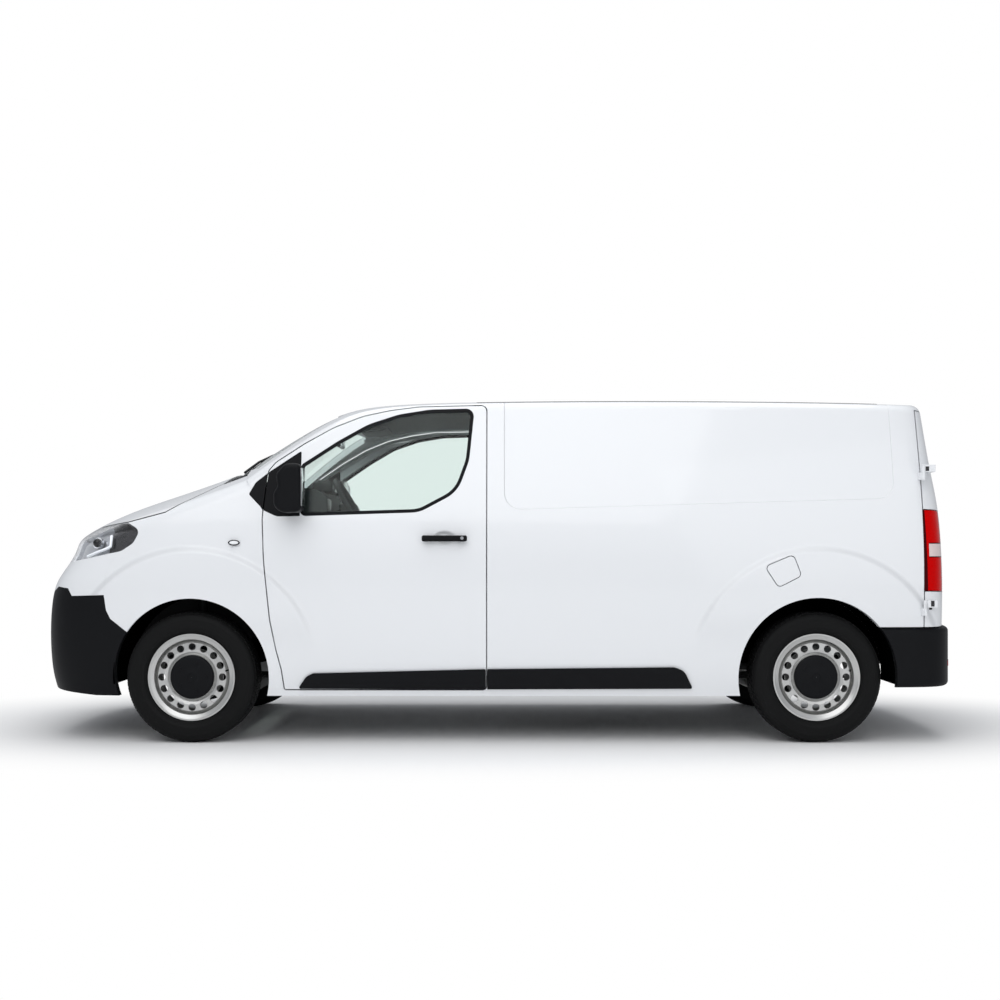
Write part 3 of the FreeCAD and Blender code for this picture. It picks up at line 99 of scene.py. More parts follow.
PAINT = Finish("van_paint", (0.80, 0.815, 0.835), roughness=0.30, coat=0.6, edge=0.0022)
TRIM = Finish("black_trim", (0.0052, 0.0056, 0.0068), roughness=0.5, grain_size=900, grain_depth=0.00012,
              edge=0.002, specular=0.11)
GLOSS_TRIM = Finish("dark_gloss", (0.008, 0.008, 0.010), roughness=0.12, coat=0.3, specular=0.3)
RUBBER = Finish("tyre_rubber", (0.0056, 0.0058, 0.0060), roughness=0.62, grain_size=700, grain_depth=0.0001,
                specular=0.12)
# Arch liners: black plastic, darkened further and given no reflection as painted shade deep in the arches.
LINER_AND_SHADE = Finish("arch_liner_and_shade", (0.0012, 0.0012, 0.0013), roughness=0.95, specular=0.0)
STEEL = Finish("wheel_silver", (0.52, 0.52, 0.51), roughness=0.3, metallic=0.75, edge=0.0015)
IRON = Finish("chassis_iron", (0.018, 0.018, 0.019), roughness=0.6, metallic=0.2, grain_size=300,
              grain_depth=0.0002, specular=0.2)
PRIMER = Finish("primed_sheet", (0.36, 0.37, 0.38), roughness=0.45)
CABIN = Finish("cabin_plastic", (0.022, 0.024, 0.025), roughness=0.6, grain_size=700, grain_depth=0.0002,
               edge=0.006, specular=0.25)
CLOTH = Finish("seat_cloth", (0.045, 0.047, 0.052), roughness=0.9, grain_size=500, grain_depth=0.0006,
               sheen=0.3)
CHROME_SATIN = Finish("lamp_reflector", (0.34, 0.35, 0.37), roughness=0.3, metallic=0.85)
CHROME = Finish("bright_metal", (0.75, 0.76, 0.78), roughness=0.12, metallic=1.0)
GLASS = Finish("tinted_glass", (0.84, 0.905, 0.885), roughness=0.0, transmission=1.0, ior=1.22)
CLEAR = Finish("clear_lens", (0.97, 0.98, 1.0), roughness=0.02, transmission=1.0, ior=1.3)
RED_LENS = Finish("red_lens", (0.42, 0.0012, 0.003), roughness=0.08, coat=0.15, specular=0.3)
TAIL_LENS = Finish("tail_lens", (0.58, 0.0004, 0.0006), roughness=0.15, specular=0.05)
GUIDE = Finish("light_guide", (0.86, 0.88, 0.9), roughness=0.2)
LINING = Finish("headlining", (0.16, 0.165, 0.17), roughness=0.95, grain_size=600, grain_depth=0.0003,
                sheen=0.2)
MAT = Finish("floor_mat", (0.03, 0.031, 0.033), roughness=0.8, grain_size=150, grain_depth=0.0008,
             specular=0.3)
PLATE = Finish("blank_plate", (0.75, 0.75, 0.73), roughness=0.35, coat=0.3)


class Sums:
    """Arithmetic nodes of one shader tree, on sockets or numbers."""

    def __init__(self, tree: bpy.types.NodeTree) -> None:
        """Takes the tree that the nodes go into."""
        self.tree = tree

    def _give(self, value: object, socket: bpy.types.NodeSocket) -> None:
        """Puts a number into a socket, or links another one to it."""
        if isinstance(value, (int, float)):
            socket.default_value = value
        else:
            self.tree.links.new(value, socket)

    def __call__(self, kind: str, *values: object) -> bpy.types.NodeSocket:
        """One arithmetic node.

        Args:
            kind: what it works out.
            values: the sockets or numbers that it takes.

        Returns:
            The socket of its result.
        """
        node = self.tree.nodes.new("ShaderNodeMath")
        node.operation = kind
        for i, value in enumerate(values):
            self._give(value, node.inputs[i])
        return node.outputs[0]

    def span(self, a: object, b: object) -> bpy.types.NodeSocket:
        """The length of two differences at right angles."""
        return self("POWER", self("ADD", self("POWER", a, 2.0), self("POWER", b, 2.0)), 0.5)

    def off(self, value: object, centre: object) -> bpy.types.NodeSocket:
        """How far a value is from a centre, either way."""
        return self("ABSOLUTE", self("SUBTRACT", value, centre))

    def ramp(self, value: object, start: float, end: float, low: float, high: float) -> bpy.types.NodeSocket:
        """A smooth step from low at start to high at end."""
        node = self.tree.nodes.new("ShaderNodeMapRange")
        node.interpolation_type = "SMOOTHERSTEP"
        for name, number in (("From Min", start), ("From Max", end), ("To Min", low), ("To Max", high)):
            node.inputs[name].default_value = number
        self._give(value, node.inputs["Value"])
        return node.outputs[0]

    def place(self) -> bpy.types.NodeOutputs:
        """The x, y and z of the point on the object."""
        where = self.tree.nodes.new("ShaderNodeTexCoord")
        parts = self.tree.nodes.new("ShaderNodeSeparateXYZ")
        self.tree.links.new(where.outputs["Object"], parts.inputs[0])
        return parts.outputs


@dataclass(frozen=True)
class Pressings:
    """The shallow pressings of the side panels, as a height in metres."""

    flare_edge: Pair = (0.640, 0.692)
    flare_height: float = 0.019
    flare_fade: Pair = (0.45, 0.72)
    recess_middle: Pair = (1.07, 1.60)
    recess_half: Pair = (0.93, 0.26)
    recess_corner: float = 0.09
    recess_slope: float = 0.03
    recess_level_x: float = 1.05
    recess_edge: float = 0.005
    recess_depth: float = 0.005
    bowl_middle: Pair = (-0.262, 1.075)
    bowl_flatness: float = 1.65
    bowl_edge: Pair = (0.020, 0.066)
    bowl_depth: float = 0.016

    def group(self) -> bpy.types.NodeTree:
        """The node group of the pressings.

        Returns:
            The group, whose output is how far the skin stands proud.
        """
        group = bpy.data.node_groups.new("Pressings", "ShaderNodeTree")
        group.interface.new_socket("Height", in_out="OUTPUT", socket_type="NodeSocketFloat")
        out = group.nodes.new("NodeGroupOutput")
        sums = Sums(group)
        x, _, z = sums.place()
        total = sums("ADD", self._flares(sums, x, z), self._recess(sums, x, z))
        bowl = sums.span(sums("SUBTRACT", x, self.bowl_middle[0]),
                         sums("MULTIPLY", sums("SUBTRACT", z, self.bowl_middle[1]), self.bowl_flatness))
        total = sums("ADD", total, sums.ramp(bowl, *self.bowl_edge, -self.bowl_depth, 0.0))
        group.links.new(total, out.inputs["Height"])
        return group

    def _flares(self, sums: Sums, x: object, z: object) -> bpy.types.NodeSocket:
        """The swelling round both arches."""
        swells = [sums.ramp(sums.span(sums("SUBTRACT", x, axle), sums("SUBTRACT", z, ARCH_HEIGHT)),
                            *self.flare_edge, self.flare_height, 0.0) for axle in (FRONT_AXLE, REAR_AXLE)]
        return sums("MULTIPLY", sums("MAXIMUM", *swells), sums.ramp(z, *self.flare_fade, 0.0, 1.0))

    def _recess(self, sums: Sums, x: object, z: object) -> bpy.types.NodeSocket:
        """The shallow field of the load side, its corners rounded."""
        slope = sums("MULTIPLY", sums("SUBTRACT", x, self.recess_level_x), self.recess_slope)
        across = sums("SUBTRACT", sums.off(x, self.recess_middle[0]), self.recess_half[0])
        level = sums("SUBTRACT", z, slope)
        up = sums("SUBTRACT", sums.off(level, self.recess_middle[1]), self.recess_half[1])
        corner = sums.span(sums("MAXIMUM", across, 0.0), sums("MAXIMUM", up, 0.0))
        inside = sums("MINIMUM", sums("MAXIMUM", across, up), 0.0)
        edge = sums("SUBTRACT", sums("ADD", corner, inside), self.recess_corner)
        return sums.ramp(edge, -self.recess_edge, self.recess_edge, -self.recess_depth, 0.0)


@dataclass(frozen=True)
class LampBands:
    """The pale band, dark border and ribs of a tail lamp."""

    band_level: float = 1.010
    band_half: float = 0.033
    band_front: float = 2.268
    seam_off: float = 0.036
    seam_half: float = 0.003
    border_x: float = 2.281
    border_lean: float = 0.026
    rib_pitch: float = 520.0
    rib_height: float = 0.0004
    pale: Tuple[float, float, float, float] = (0.74, 0.62, 0.61, 1.0)
    border: Tuple[float, float, float, float] = (0.05, 0.002, 0.003, 1.0)

    def group(self) -> bpy.types.NodeTree:
        """The node group of the bands.

        Returns:
            The group, which puts out the masks of band and border, and the optic's height.
        """
        group = bpy.data.node_groups.new("LampBands", "ShaderNodeTree")
        for name in ("Pale", "Border", "Height"):
            group.interface.new_socket(name, in_out="OUTPUT", socket_type="NodeSocketFloat")
        out = group.nodes.new("NodeGroupOutput")
        sums = Sums(group)
        x, _, z = sums.place()
        away = sums.off(z, self.band_level)
        aside = sums("GREATER_THAN", x, self.band_front)
        seam = sums("LESS_THAN", sums.off(away, self.seam_off), self.seam_half)
        front = sums("LESS_THAN", sums("ADD", x, sums("MULTIPLY", z, self.border_lean)), self.border_x)
        results = (("Pale", sums("MULTIPLY", sums("LESS_THAN", away, self.band_half), aside)),
                   ("Border", sums("MAXIMUM", sums("MULTIPLY", seam, aside), front)),
                   ("Height", sums("MULTIPLY", sums("SINE", sums("MULTIPLY", z, self.rib_pitch)),
                                   self.rib_height)))
        for name, result in results:
            group.links.new(result, out.inputs[name])
        return group


class Palette:
    """Builds each finish's material once and hands it out."""

    COAT_ROUGHNESS = 0.06
    BEVEL_SAMPLES = 4
    RIB_STRENGTH = 0.6

    def __init__(self) -> None:
        """Builds the node groups; no material is made yet."""
        self.made: Dict[str, bpy.types.Material] = {}
        self.grain = self._grain_group()
        self.shape = Pressings().group()
        self.lamp = LampBands()
        self.bands = self.lamp.group()

    @staticmethod
    def _grain_group() -> bpy.types.NodeTree:
        """A node group for the fine grain of moulded plastic, rubber and cloth.

        Returns:
            The group, whose output is a bumped normal.
        """
        group = bpy.data.node_groups.new("Grain", "ShaderNodeTree")
        for name, way, kind in (("Scale", "INPUT", "Float"), ("Depth", "INPUT", "Float"),
                                ("Normal", "INPUT", "Vector"), ("Normal", "OUTPUT", "Vector")):
            group.interface.new_socket(name, in_out=way, socket_type="NodeSocket" + kind)
        nodes, links = group.nodes, group.links
        given = nodes.new("NodeGroupInput")
        out = nodes.new("NodeGroupOutput")
        where = nodes.new("ShaderNodeTexCoord")
        noise = nodes.new("ShaderNodeTexNoise")
        noise.inputs["Detail"].default_value = 2
        bump = nodes.new("ShaderNodeBump")
        bump.inputs["Strength"].default_value = 1.0
        links.new(where.outputs["Object"], noise.inputs["Vector"])
        links.new(given.outputs["Scale"], noise.inputs["Scale"])
        links.new(given.outputs["Depth"], bump.inputs["Distance"])
        links.new(noise.outputs["Fac"], bump.inputs["Height"])
        links.new(given.outputs["Normal"], bump.inputs["Normal"])
        links.new(bump.outputs["Normal"], out.inputs["Normal"])
        return group

    def of(self, finish: Finish) -> bpy.types.Material:
        """The material of a finish.

        Args:
            finish: the finish wanted.

        Returns:
            Its material, made at the first call.
        """
        if finish.name not in self.made:
            self.made[finish.name] = self._build(finish)
        return self.made[finish.name]

    def _build(self, finish: Finish) -> bpy.types.Material:
        """Makes the material of a finish."""
        material = bpy.data.materials.new(finish.name)
        material.use_nodes = True
        values = material.node_tree.nodes["Principled BSDF"].inputs
        settings = (("Base Color", (*finish.colour, 1.0)), ("Roughness", finish.roughness),
                    ("Metallic", finish.metallic), ("Coat Weight", finish.coat),
                    ("Coat Roughness", self.COAT_ROUGHNESS), ("IOR", finish.ior),
                    ("Specular IOR Level", finish.specular), ("Transmission Weight", finish.transmission),
                    ("Sheen Weight", finish.sheen))
        for name, value in settings:
            values[name].default_value = value
        self._roughen(material, finish)
        if finish.transmission:
            self._let_light_through(material, finish)
        if finish is TAIL_LENS:
            self._paint_bands(material, finish)
        return material

    def _roughen(self, material: bpy.types.Material, finish: Finish) -> None:
        """Gives a material its rounded edges, pressings and grain.

        Args:
            material: the material.
            finish: its finish, which says how soft its edges are and how coarse its grain is.
        """
        nodes, links = material.node_tree.nodes, material.node_tree.links
        normal = None
        if finish.edge:
            bevel = nodes.new("ShaderNodeBevel")
            bevel.samples = self.BEVEL_SAMPLES
            bevel.inputs["Radius"].default_value = finish.edge
            normal = bevel.outputs["Normal"]
        if finish is PAINT:
            pressed = nodes.new("ShaderNodeGroup")
            pressed.node_tree = self.shape
            bump = self._bump(nodes, 1.0)
            links.new(pressed.outputs["Height"], bump.inputs["Height"])
            links.new(normal, bump.inputs["Normal"])
            normal = bump.outputs["Normal"]
        if finish.grain_depth:
            grain = nodes.new("ShaderNodeGroup")
            grain.node_tree = self.grain
            grain.inputs["Scale"].default_value = finish.grain_size
            grain.inputs["Depth"].default_value = finish.grain_depth
            if normal is not None:
                links.new(normal, grain.inputs["Normal"])
            normal = grain.outputs["Normal"]
        if normal is not None:
            links.new(normal, nodes["Principled BSDF"].inputs["Normal"])

    @staticmethod
    def _bump(nodes: bpy.types.Nodes, strength: float) -> bpy.types.Node:
        """A bump node that takes its height in metres."""
        bump = nodes.new("ShaderNodeBump")
        bump.inputs["Strength"].default_value = strength
        bump.inputs["Distance"].default_value = 1.0
        return bump

    def _paint_bands(self, material: bpy.types.Material, finish: Finish) -> None:
        """Colours a tail lamp by its bands.

        Args:
            material: the tail lamp's material.
            finish: its finish.
        """
        nodes, links = material.node_tree.nodes, material.node_tree.links
        values = nodes["Principled BSDF"].inputs
        bands = nodes.new("ShaderNodeGroup")
        bands.node_tree = self.bands
        last = None
        for mask, colour in (("Pale", self.lamp.pale), ("Border", self.lamp.border)):
            mix = nodes.new("ShaderNodeMix")
            mix.data_type = "RGBA"
            fac, under, over = (mix.inputs[i] for i in (0, 6, 7))
            links.new(bands.outputs[mask], fac)
            if last is None:
                under.default_value = (*finish.colour, 1.0)
            else:
                links.new(last, under)
            over.default_value = colour
            last = mix.outputs[2]
        links.new(last, values["Base Color"])
        bump = self._bump(nodes, self.RIB_STRENGTH)
        links.new(bands.outputs["Height"], bump.inputs["Height"])
        links.new(bump.outputs["Normal"], values["Normal"])

    @staticmethod
    def _let_light_through(material: bpy.types.Material, finish: Finish) -> None:
        """Lets a clear material's shadow stay light.

        Args:
            material: the material of glass or a lens.
            finish: its finish, whose colour the light takes.
        """
        nodes, links = material.node_tree.nodes, material.node_tree.links
        shader = nodes["Principled BSDF"]
        out = nodes["Material Output"]
        path = nodes.new("ShaderNodeLightPath")
        clear = nodes.new("ShaderNodeBsdfTransparent")
        clear.inputs["Color"].default_value = (*finish.colour, 1.0)
        mix = nodes.new("ShaderNodeMixShader")
        links.new(path.outputs["Is Shadow Ray"], mix.inputs[0])
        links.new(shader.outputs[0], mix.inputs[1])
        links.new(clear.outputs[0], mix.inputs[2])
        links.new(mix.outputs[0], out.inputs["Surface"])


class Form:
    """A mesh being built in the row frame."""

    def __init__(self) -> None:
        """Starts with an empty mesh."""
        self.bm = bmesh.new()

    def box(self, low: Point, high: Point, soft: float = 0.0, segments: int = 2) -> "Form":
        """Adds a box, its edges rounded if soft is given.

        Args:
            low: lowest corner.
            high: highest corner.
            soft: width of the rounded edges.
            segments: steps round an edge.

        Returns:
            The form itself.
        """
        made = bmesh.ops.create_cube(self.bm, size=1.0)["verts"]
        a, b = Vector(low), Vector(high)
        for v in made:
            v.co = Vector(((a[i] + b[i]) / 2 + v.co[i] * (b[i] - a[i])) for i in range(3))
        if soft:
            edges = list({e for v in made for e in v.link_edges})
            bmesh.ops.bevel(self.bm, geom=edges, offset=soft, segments=segments, profile=0.5,
                            affect="EDGES", material=-1)
        return self

    def bar(self, start: Point, end: Point, radius: float, sides: int = 16,
            tip: Optional[float] = None) -> "Form":
        """Adds a round bar from start to end, with another radius at its tip if given."""
        a, b = Vector(start), Vector(end)
        axis = b - a
        turn = Vector((0, 0, 1)).rotation_difference(axis).to_matrix().to_4x4()
        place = Matrix.Translation((a + b) / 2) @ turn
        bmesh.ops.create_cone(self.bm, cap_ends=True, cap_tris=False, segments=sides, radius1=radius,
                              radius2=radius if tip is None else tip, depth=axis.length, matrix=place)
        return self

    def ball(self, centre: Point, radius: float, sides: int = 16) -> "Form":
        """Adds a sphere."""
        bmesh.ops.create_uvsphere(self.bm, u_segments=sides, v_segments=sides // 2, radius=radius,
                                  matrix=Matrix.Translation(centre))
        return self

    def lathe(self, profile: Sequence[Pair], centre: Point, side: int, steps: int = 96) -> "Form":
        """Turns a closed section about an axle.

        Args:
            profile: (radius, distance outboard) pairs round the section.
            centre: the middle of the wheel.
            side: -1 for the vehicle's left, 1 for its right.
            steps: facets round the turn.

        Returns:
            The form itself.
        """
        hub = Vector(centre)
        verts = [self.bm.verts.new(hub + Vector((0.0, side * d, r))) for r, d in profile]
        edges = [self.bm.edges.new((verts[i], verts[(i + 1) % len(verts)])) for i in range(len(verts))]
        bmesh.ops.spin(self.bm, geom=verts + edges, cent=hub, axis=Vector((0, 1, 0)), dvec=Vector(),
                       angle=2 * math.pi, steps=steps, use_merge=True, use_duplicate=False)
        bmesh.ops.remove_doubles(self.bm, verts=self.bm.verts[:], dist=1e-6)
        return self

    def tube(self, points: Sequence[Point], radius: float, sides: int = 10) -> "Form":
        """Adds a round tube through points."""
        for a, b in zip(points, points[1:]):
            self.bar(a, b, radius, sides)
        for p in points[1:-1]:
            self.ball(p, radius, sides)
        return self

    def solid(self, verts: Iterable[Point], faces: Iterable[Sequence[int]]) -> "Form":
        """Adds corners and faces as given."""
        made = [self.bm.verts.new(p) for p in verts]
        for face in faces:
            self.bm.faces.new([made[i] for i in face])
        return self

    def bevel_sharp(self, width: float, segments: int = 2, angle: float = 35.0) -> "Form":
        """Rounds every edge sharper than an angle."""
        limit = math.radians(angle)
        edges = [e for e in self.bm.edges if len(e.link_faces) == 2 and e.calc_face_angle(0.0) > limit]
        bmesh.ops.bevel(self.bm, geom=edges, offset=width, segments=segments, profile=0.5,
                        affect="EDGES", material=-1)
        return self

    def done(self, name: str, body: str, slot: Slot, material: bpy.types.Material, smooth: float = 35.0,
             outward: bool = True) -> bpy.types.Object:
        """Makes the object of the form and lets it ride.

        Args:
            name: the piece's name.
            body: the CAD body that it moves with.
            slot: the record's material slot; not used.
            material: its material.
            smooth: edges flatter than this angle are shaded smooth.
            outward: whether normals are worked out again.

        Returns:
            The finished piece.
        """
        if outward:
            bmesh.ops.recalc_face_normals(self.bm, faces=self.bm.faces[:])
        mesh = bpy.data.meshes.new(name)
        self.bm.to_mesh(mesh)
        self.bm.free()
        return settle(mesh, name, body, material, smooth)


def settle(mesh: bpy.types.Mesh, name: str, body: str, material: bpy.types.Material,
           smooth: float = 35.0) -> bpy.types.Object:
    """Puts a mesh into the scene as a piece of the van."""
    obj = bpy.data.objects.new(name, mesh)
    bpy.context.scene.collection.objects.link(obj)
    mesh.materials.clear()
    mesh.materials.append(material)
    shade(mesh, smooth)
    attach(obj, body)
    return obj


def shade(mesh: bpy.types.Mesh, angle: float) -> None:
    """Shades a mesh smooth, with edges above an angle kept sharp."""
    bm = bmesh.new()
    bm.from_mesh(mesh)
    limit = math.radians(angle)
    for face in bm.faces:
        face.smooth = True
    for e in bm.edges:
        e.smooth = not (len(e.link_faces) == 2 and e.calc_face_angle(0.0) > limit)
    bm.to_mesh(mesh)
    bm.free()


def islands(bm: bmesh.types.BMesh) -> List[List[bmesh.types.BMVert]]:
    """The separate pieces of a mesh, each as its vertices."""
    left = set(bm.verts)
    found = []
    while left:
        stack = [left.pop()]
        group = list(stack)
        while stack:
            v = stack.pop()
            for e in v.link_edges:
                w = e.other_vert(v)
                if w in left:
                    left.discard(w)
                    stack.append(w)
                    group.append(w)
        found.append(group)
    return found


def merged_copy(node: str, keep: Optional[Callable[[Vector, Vector], bool]] = None) -> bmesh.types.BMesh:
    """A copy of a CAD node's mesh with its doubles merged.

    Args:
        node: the CAD node.
        keep: which separate pieces of it stay, by their lowest and highest corners.

    Returns:
        The copy as a bmesh.
    """
    bm = bmesh.new()
    bm.from_mesh(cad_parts[node].data)
    bmesh.ops.remove_doubles(bm, verts=bm.verts[:], dist=1e-5)
    if keep is not None:
        for group in islands(bm):
            low = Vector(min(v.co[i] for v in group) for i in range(3))
            high = Vector(max(v.co[i] for v in group) for i in range(3))
            if not keep(low, high):
                bmesh.ops.delete(bm, geom=group, context="VERTS")
    return bm


@dataclass
class Shell:
    """The CAD nodes that are shown as they are, each with its finish."""

    palette: Palette

    PAINTED = ("roof_panel", "side_frame_left", "side_frame_right", "sliding_door", "wing_left", "wing_right",
               "bonnet", "fuel_flap", "door_left", "door_right", "rear_door_left", "rear_door_right",
               "front_mask")
    TRIMMED = ("bumper_front", "grille", "cowl", "rub_strips", "bumper_rear", "door_trim_left",
               "door_trim_right", "fuel_tank")
    GLAZED = ("windscreen", "door_glass_left", "door_glass_right")
    PRIMED = ("floor_pan", "bulkhead")
    CAST = ("front_subframe", "rear_axle", "knuckle_left", "knuckle_right", "engine", "radiator", "exhaust",
            "engine_bay")
    MOULDED = ("dashboard", "steering_wheel")
    COVERED = ("seat_driver", "seat_bench")

    def build(self) -> None:
        """Gives each CAD node its material."""
        groups = ((self.PAINTED, PAINT), (self.TRIMMED, TRIM), (self.GLAZED, GLASS), (self.PRIMED, PRIMER),
                  (self.CAST, IRON), (self.MOULDED, CABIN), (self.COVERED, CLOTH),
                  (("headlamps",), CLEAR), (("tail_lamps",), TAIL_LENS))
        for names, finish in groups:
            for name in names:
                self._dress(name, finish)
        for place, _, _ in WHEELS:
            self._dress("rim_" + place, STEEL)
            self._dress("tyre_" + place, RUBBER)

    def _dress(self, name: str, finish: Finish) -> None:
        """Gives one node the material of a finish."""
        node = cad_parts[name]
        node.data.materials.clear()
        node.data.materials.append(self.palette.of(finish))


@dataclass
class Wheel:
    """One road wheel's tyre with tread, and the cap of its rim."""

    palette: Palette
    place: str
    x: float
    side: int

    PITCHES = 68
    BLOCK_FOOT = 0.333
    BLOCK_TOP = 0.3428
    SHOULDER_TOP = 0.3385
    BLOCK_SOFT = 0.0012
    MEAN_RADIUS = 0.34
    SLANT = 0.10
    RIBS = ((-0.080, -0.052), (-0.046, -0.020), (-0.014, 0.014), (0.020, 0.046), (0.052, 0.080))

    @property
    def centre(self) -> Point:
        """The wheel's middle."""
        return (self.x, self.side * TRACK, AXLE_HEIGHT)

    @property
    def body(self) -> str:
        """The CAD body that the wheel belongs to."""
        return "wheel_" + self.place

    def build(self) -> None:
        """Builds the tyre and the cap."""
        self._tyre()
        self._cap()
        self._valve()

    def _tyre(self) -> None:
        """The carcass with its sidewall lines, and five ribs of tread blocks."""
        right = [(0.2055, 0.064), (0.2065, 0.076), (0.224, 0.0838), (0.2315, 0.0855), (0.2335, 0.0905),
                 (0.2375, 0.0945), (0.2400, 0.0975), (0.2420, 0.0975), (0.2450, 0.1010), (0.2600, 0.1058),
                 (0.2620, 0.1068), (0.2640, 0.1068), (0.2660, 0.1064), (0.2780, 0.1070), (0.2900, 0.1064),
                 (0.3000, 0.1048), (0.3020, 0.1052), (0.3040, 0.1044), (0.3130, 0.1020), (0.3210, 0.0980),
                 (0.3270, 0.0930), (0.3325, 0.0850), (0.3345, 0.0800), (0.3352, 0.0400)]
        inside = [(0.2110, 0.0600), (0.2500, 0.0860), (0.2850, 0.0960), (0.3130, 0.0870), (0.3270, 0.0650)]
        profile = right + [(r, -d) for r, d in reversed(right)] + [(r, -d) for r, d in inside]
        profile += [(r, d) for r, d in reversed(inside)]
        form = Form().lathe(profile, self.centre, self.side, 120)
        hub = Vector(self.centre)
        corners: List[Vector] = []
        faces: List[Tuple[int, ...]] = []
        for rib, (d0, d1) in enumerate(self.RIBS):
            outer = rib in (0, len(self.RIBS) - 1)
            for k in range(self.PITCHES):
                middle = (k + (0.5 if rib % 2 else 0.0)) * 2 * math.pi / self.PITCHES
                self._block(corners, faces, hub, middle, d0, d1, outer, 0.40 if outer else 0.42, rib - 2)
        form.solid(corners, faces)
        tyre = form.done("tyre_detail_" + self.place, self.body, Slot.TYRE, self.palette.of(RUBBER), 28)
        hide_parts("tyre_" + self.place)

    def _block(self, corners: List[Vector], faces: List[Tuple[int, ...]], hub: Vector, middle: float,
               d0: float, d1: float, outer: bool, half: float, lean: int) -> None:
        """Adds one tread block's corners and faces."""
        step = 2 * math.pi / self.PITCHES
        rows = []
        tops = {d0: self.BLOCK_TOP, d1: self.BLOCK_TOP}
        if outer:
            tops[d0 if abs(d0) > abs(d1) else d1] = self.SHOULDER_TOP
        for level, shrink in ((0, 0.0), (1, 0.0), (2, self.BLOCK_SOFT)):
            ring = []
            for d, t in ((d0, -1), (d1, -1), (d1, 1), (d0, 1)):
                radius = self.BLOCK_FOOT if level == 0 else tops[d] - (self.BLOCK_SOFT if level == 1 else 0.0)
                toward = 1 if d == min(d0, d1) else -1
                slant = lean * self.SLANT * step * (1 if d == d0 else -1)
                angle = middle + t * (half * step - shrink / self.MEAN_RADIUS) + slant
                across = self.side * (d + toward * shrink)
                ring.append(hub + Vector((radius * math.sin(angle), across, radius * math.cos(angle))))
            rows.append(ring)
        base = len(corners)
        for ring in rows:
            corners.extend(ring)
        for level in (0, 1):
            for i in range(4):
                j = (i + 1) % 4
                faces.append((base + level * 4 + i, base + level * 4 + j, base + level * 4 + 4 + j,
                              base + level * 4 + 4 + i))
        faces.append((base + 8, base + 9, base + 10, base + 11))
        faces.append((base + 3, base + 2, base + 1, base))

    def _cap(self) -> None:
        """The black cap over the wheel bolts, its middle left bare."""
        profile = [(0.0005, 0.0800), (0.0200, 0.0800), (0.0215, 0.0822), (0.0235, 0.0828), (0.0255, 0.0822),
                   (0.0270, 0.0815), (0.0600, 0.0805), (0.1000, 0.0790), (0.1080, 0.0772), (0.1130, 0.0735),
                   (0.1155, 0.0680), (0.1155, 0.0600), (0.1000, 0.0600), (0.0005, 0.0600)]
        form = Form().lathe(profile, self.centre, self.side, 96)
        for k in range(5):
            angle = (k + 0.25) * 2 * math.pi / 5
            x = self.x + 0.074 * math.sin(angle)
            z = AXLE_HEIGHT + 0.074 * math.cos(angle)
            y = self.side * TRACK
            form.bar((x, y + self.side * 0.074, z), (x, y + self.side * 0.0822, z), 0.0105, 20, 0.0085)
        form.done("wheel_cap_" + self.place, self.body, Slot.TRIM, self.palette.of(TRIM))

    def _valve(self) -> None:
        """The valve stem beside the vent holes."""
        y = self.side * TRACK
        form = Form()
        form.bar((self.x + 0.185, y + self.side * 0.052, AXLE_HEIGHT + 0.035),
                 (self.x + 0.178, y + self.side * 0.083, AXLE_HEIGHT + 0.033), 0.0045, 12, 0.0035)
        form.done("valve_" + self.place, self.body, Slot.TRIM, self.palette.of(TRIM))


def outer_skin(node: str, side: int, least: float = 0.02) -> bmesh.types.BMesh:
    """The outward faces of one side of a CAD node, as an open skin.

    Args:
        node: the CAD node.
        side: -1 for the vehicle's left, 1 for its right.
        least: how much a face has to look sideways to count.

    Returns:
        The skin as a bmesh.
    """
    bm = merged_copy(node, lambda low, high: (low.y + high.y) * side > 0)
    bm.normal_update()
    bmesh.ops.delete(bm, geom=[f for f in bm.faces if f.normal.y * side < least], context="FACES")
    bm.normal_update()
    return bm


def thicken(bm: bmesh.types.BMesh, depth: float) -> None:
    """Closes an open skin with a copy of it pushed in along its normals."""
    bm.normal_update()
    faces = list(bm.faces)
    rim = [(loop.vert, loop.link_loop_next.vert) for f in faces for loop in f.loops
           if len(loop.edge.link_faces) == 1]
    back = {v: bm.verts.new(v.co - v.normal * depth) for v in list(bm.verts)}
    for f in faces:
        bm.faces.new([back[v] for v in reversed(f.verts)])
    for a, b in rim:
        bm.faces.new((b, a, back[a], back[b]))


def push(bm: bmesh.types.BMesh, depth: float) -> None:
    """Moves an open skin inwards along its normals."""
    bm.normal_update()
    moved = {v: v.co - v.normal * depth for v in bm.verts}
    for v, place in moved.items():
        v.co = place


def from_mesh(bm: bmesh.types.BMesh) -> Form:
    """A form that takes over a mesh."""
    form = Form()
    form.bm.free()
    form.bm = bm
    return form


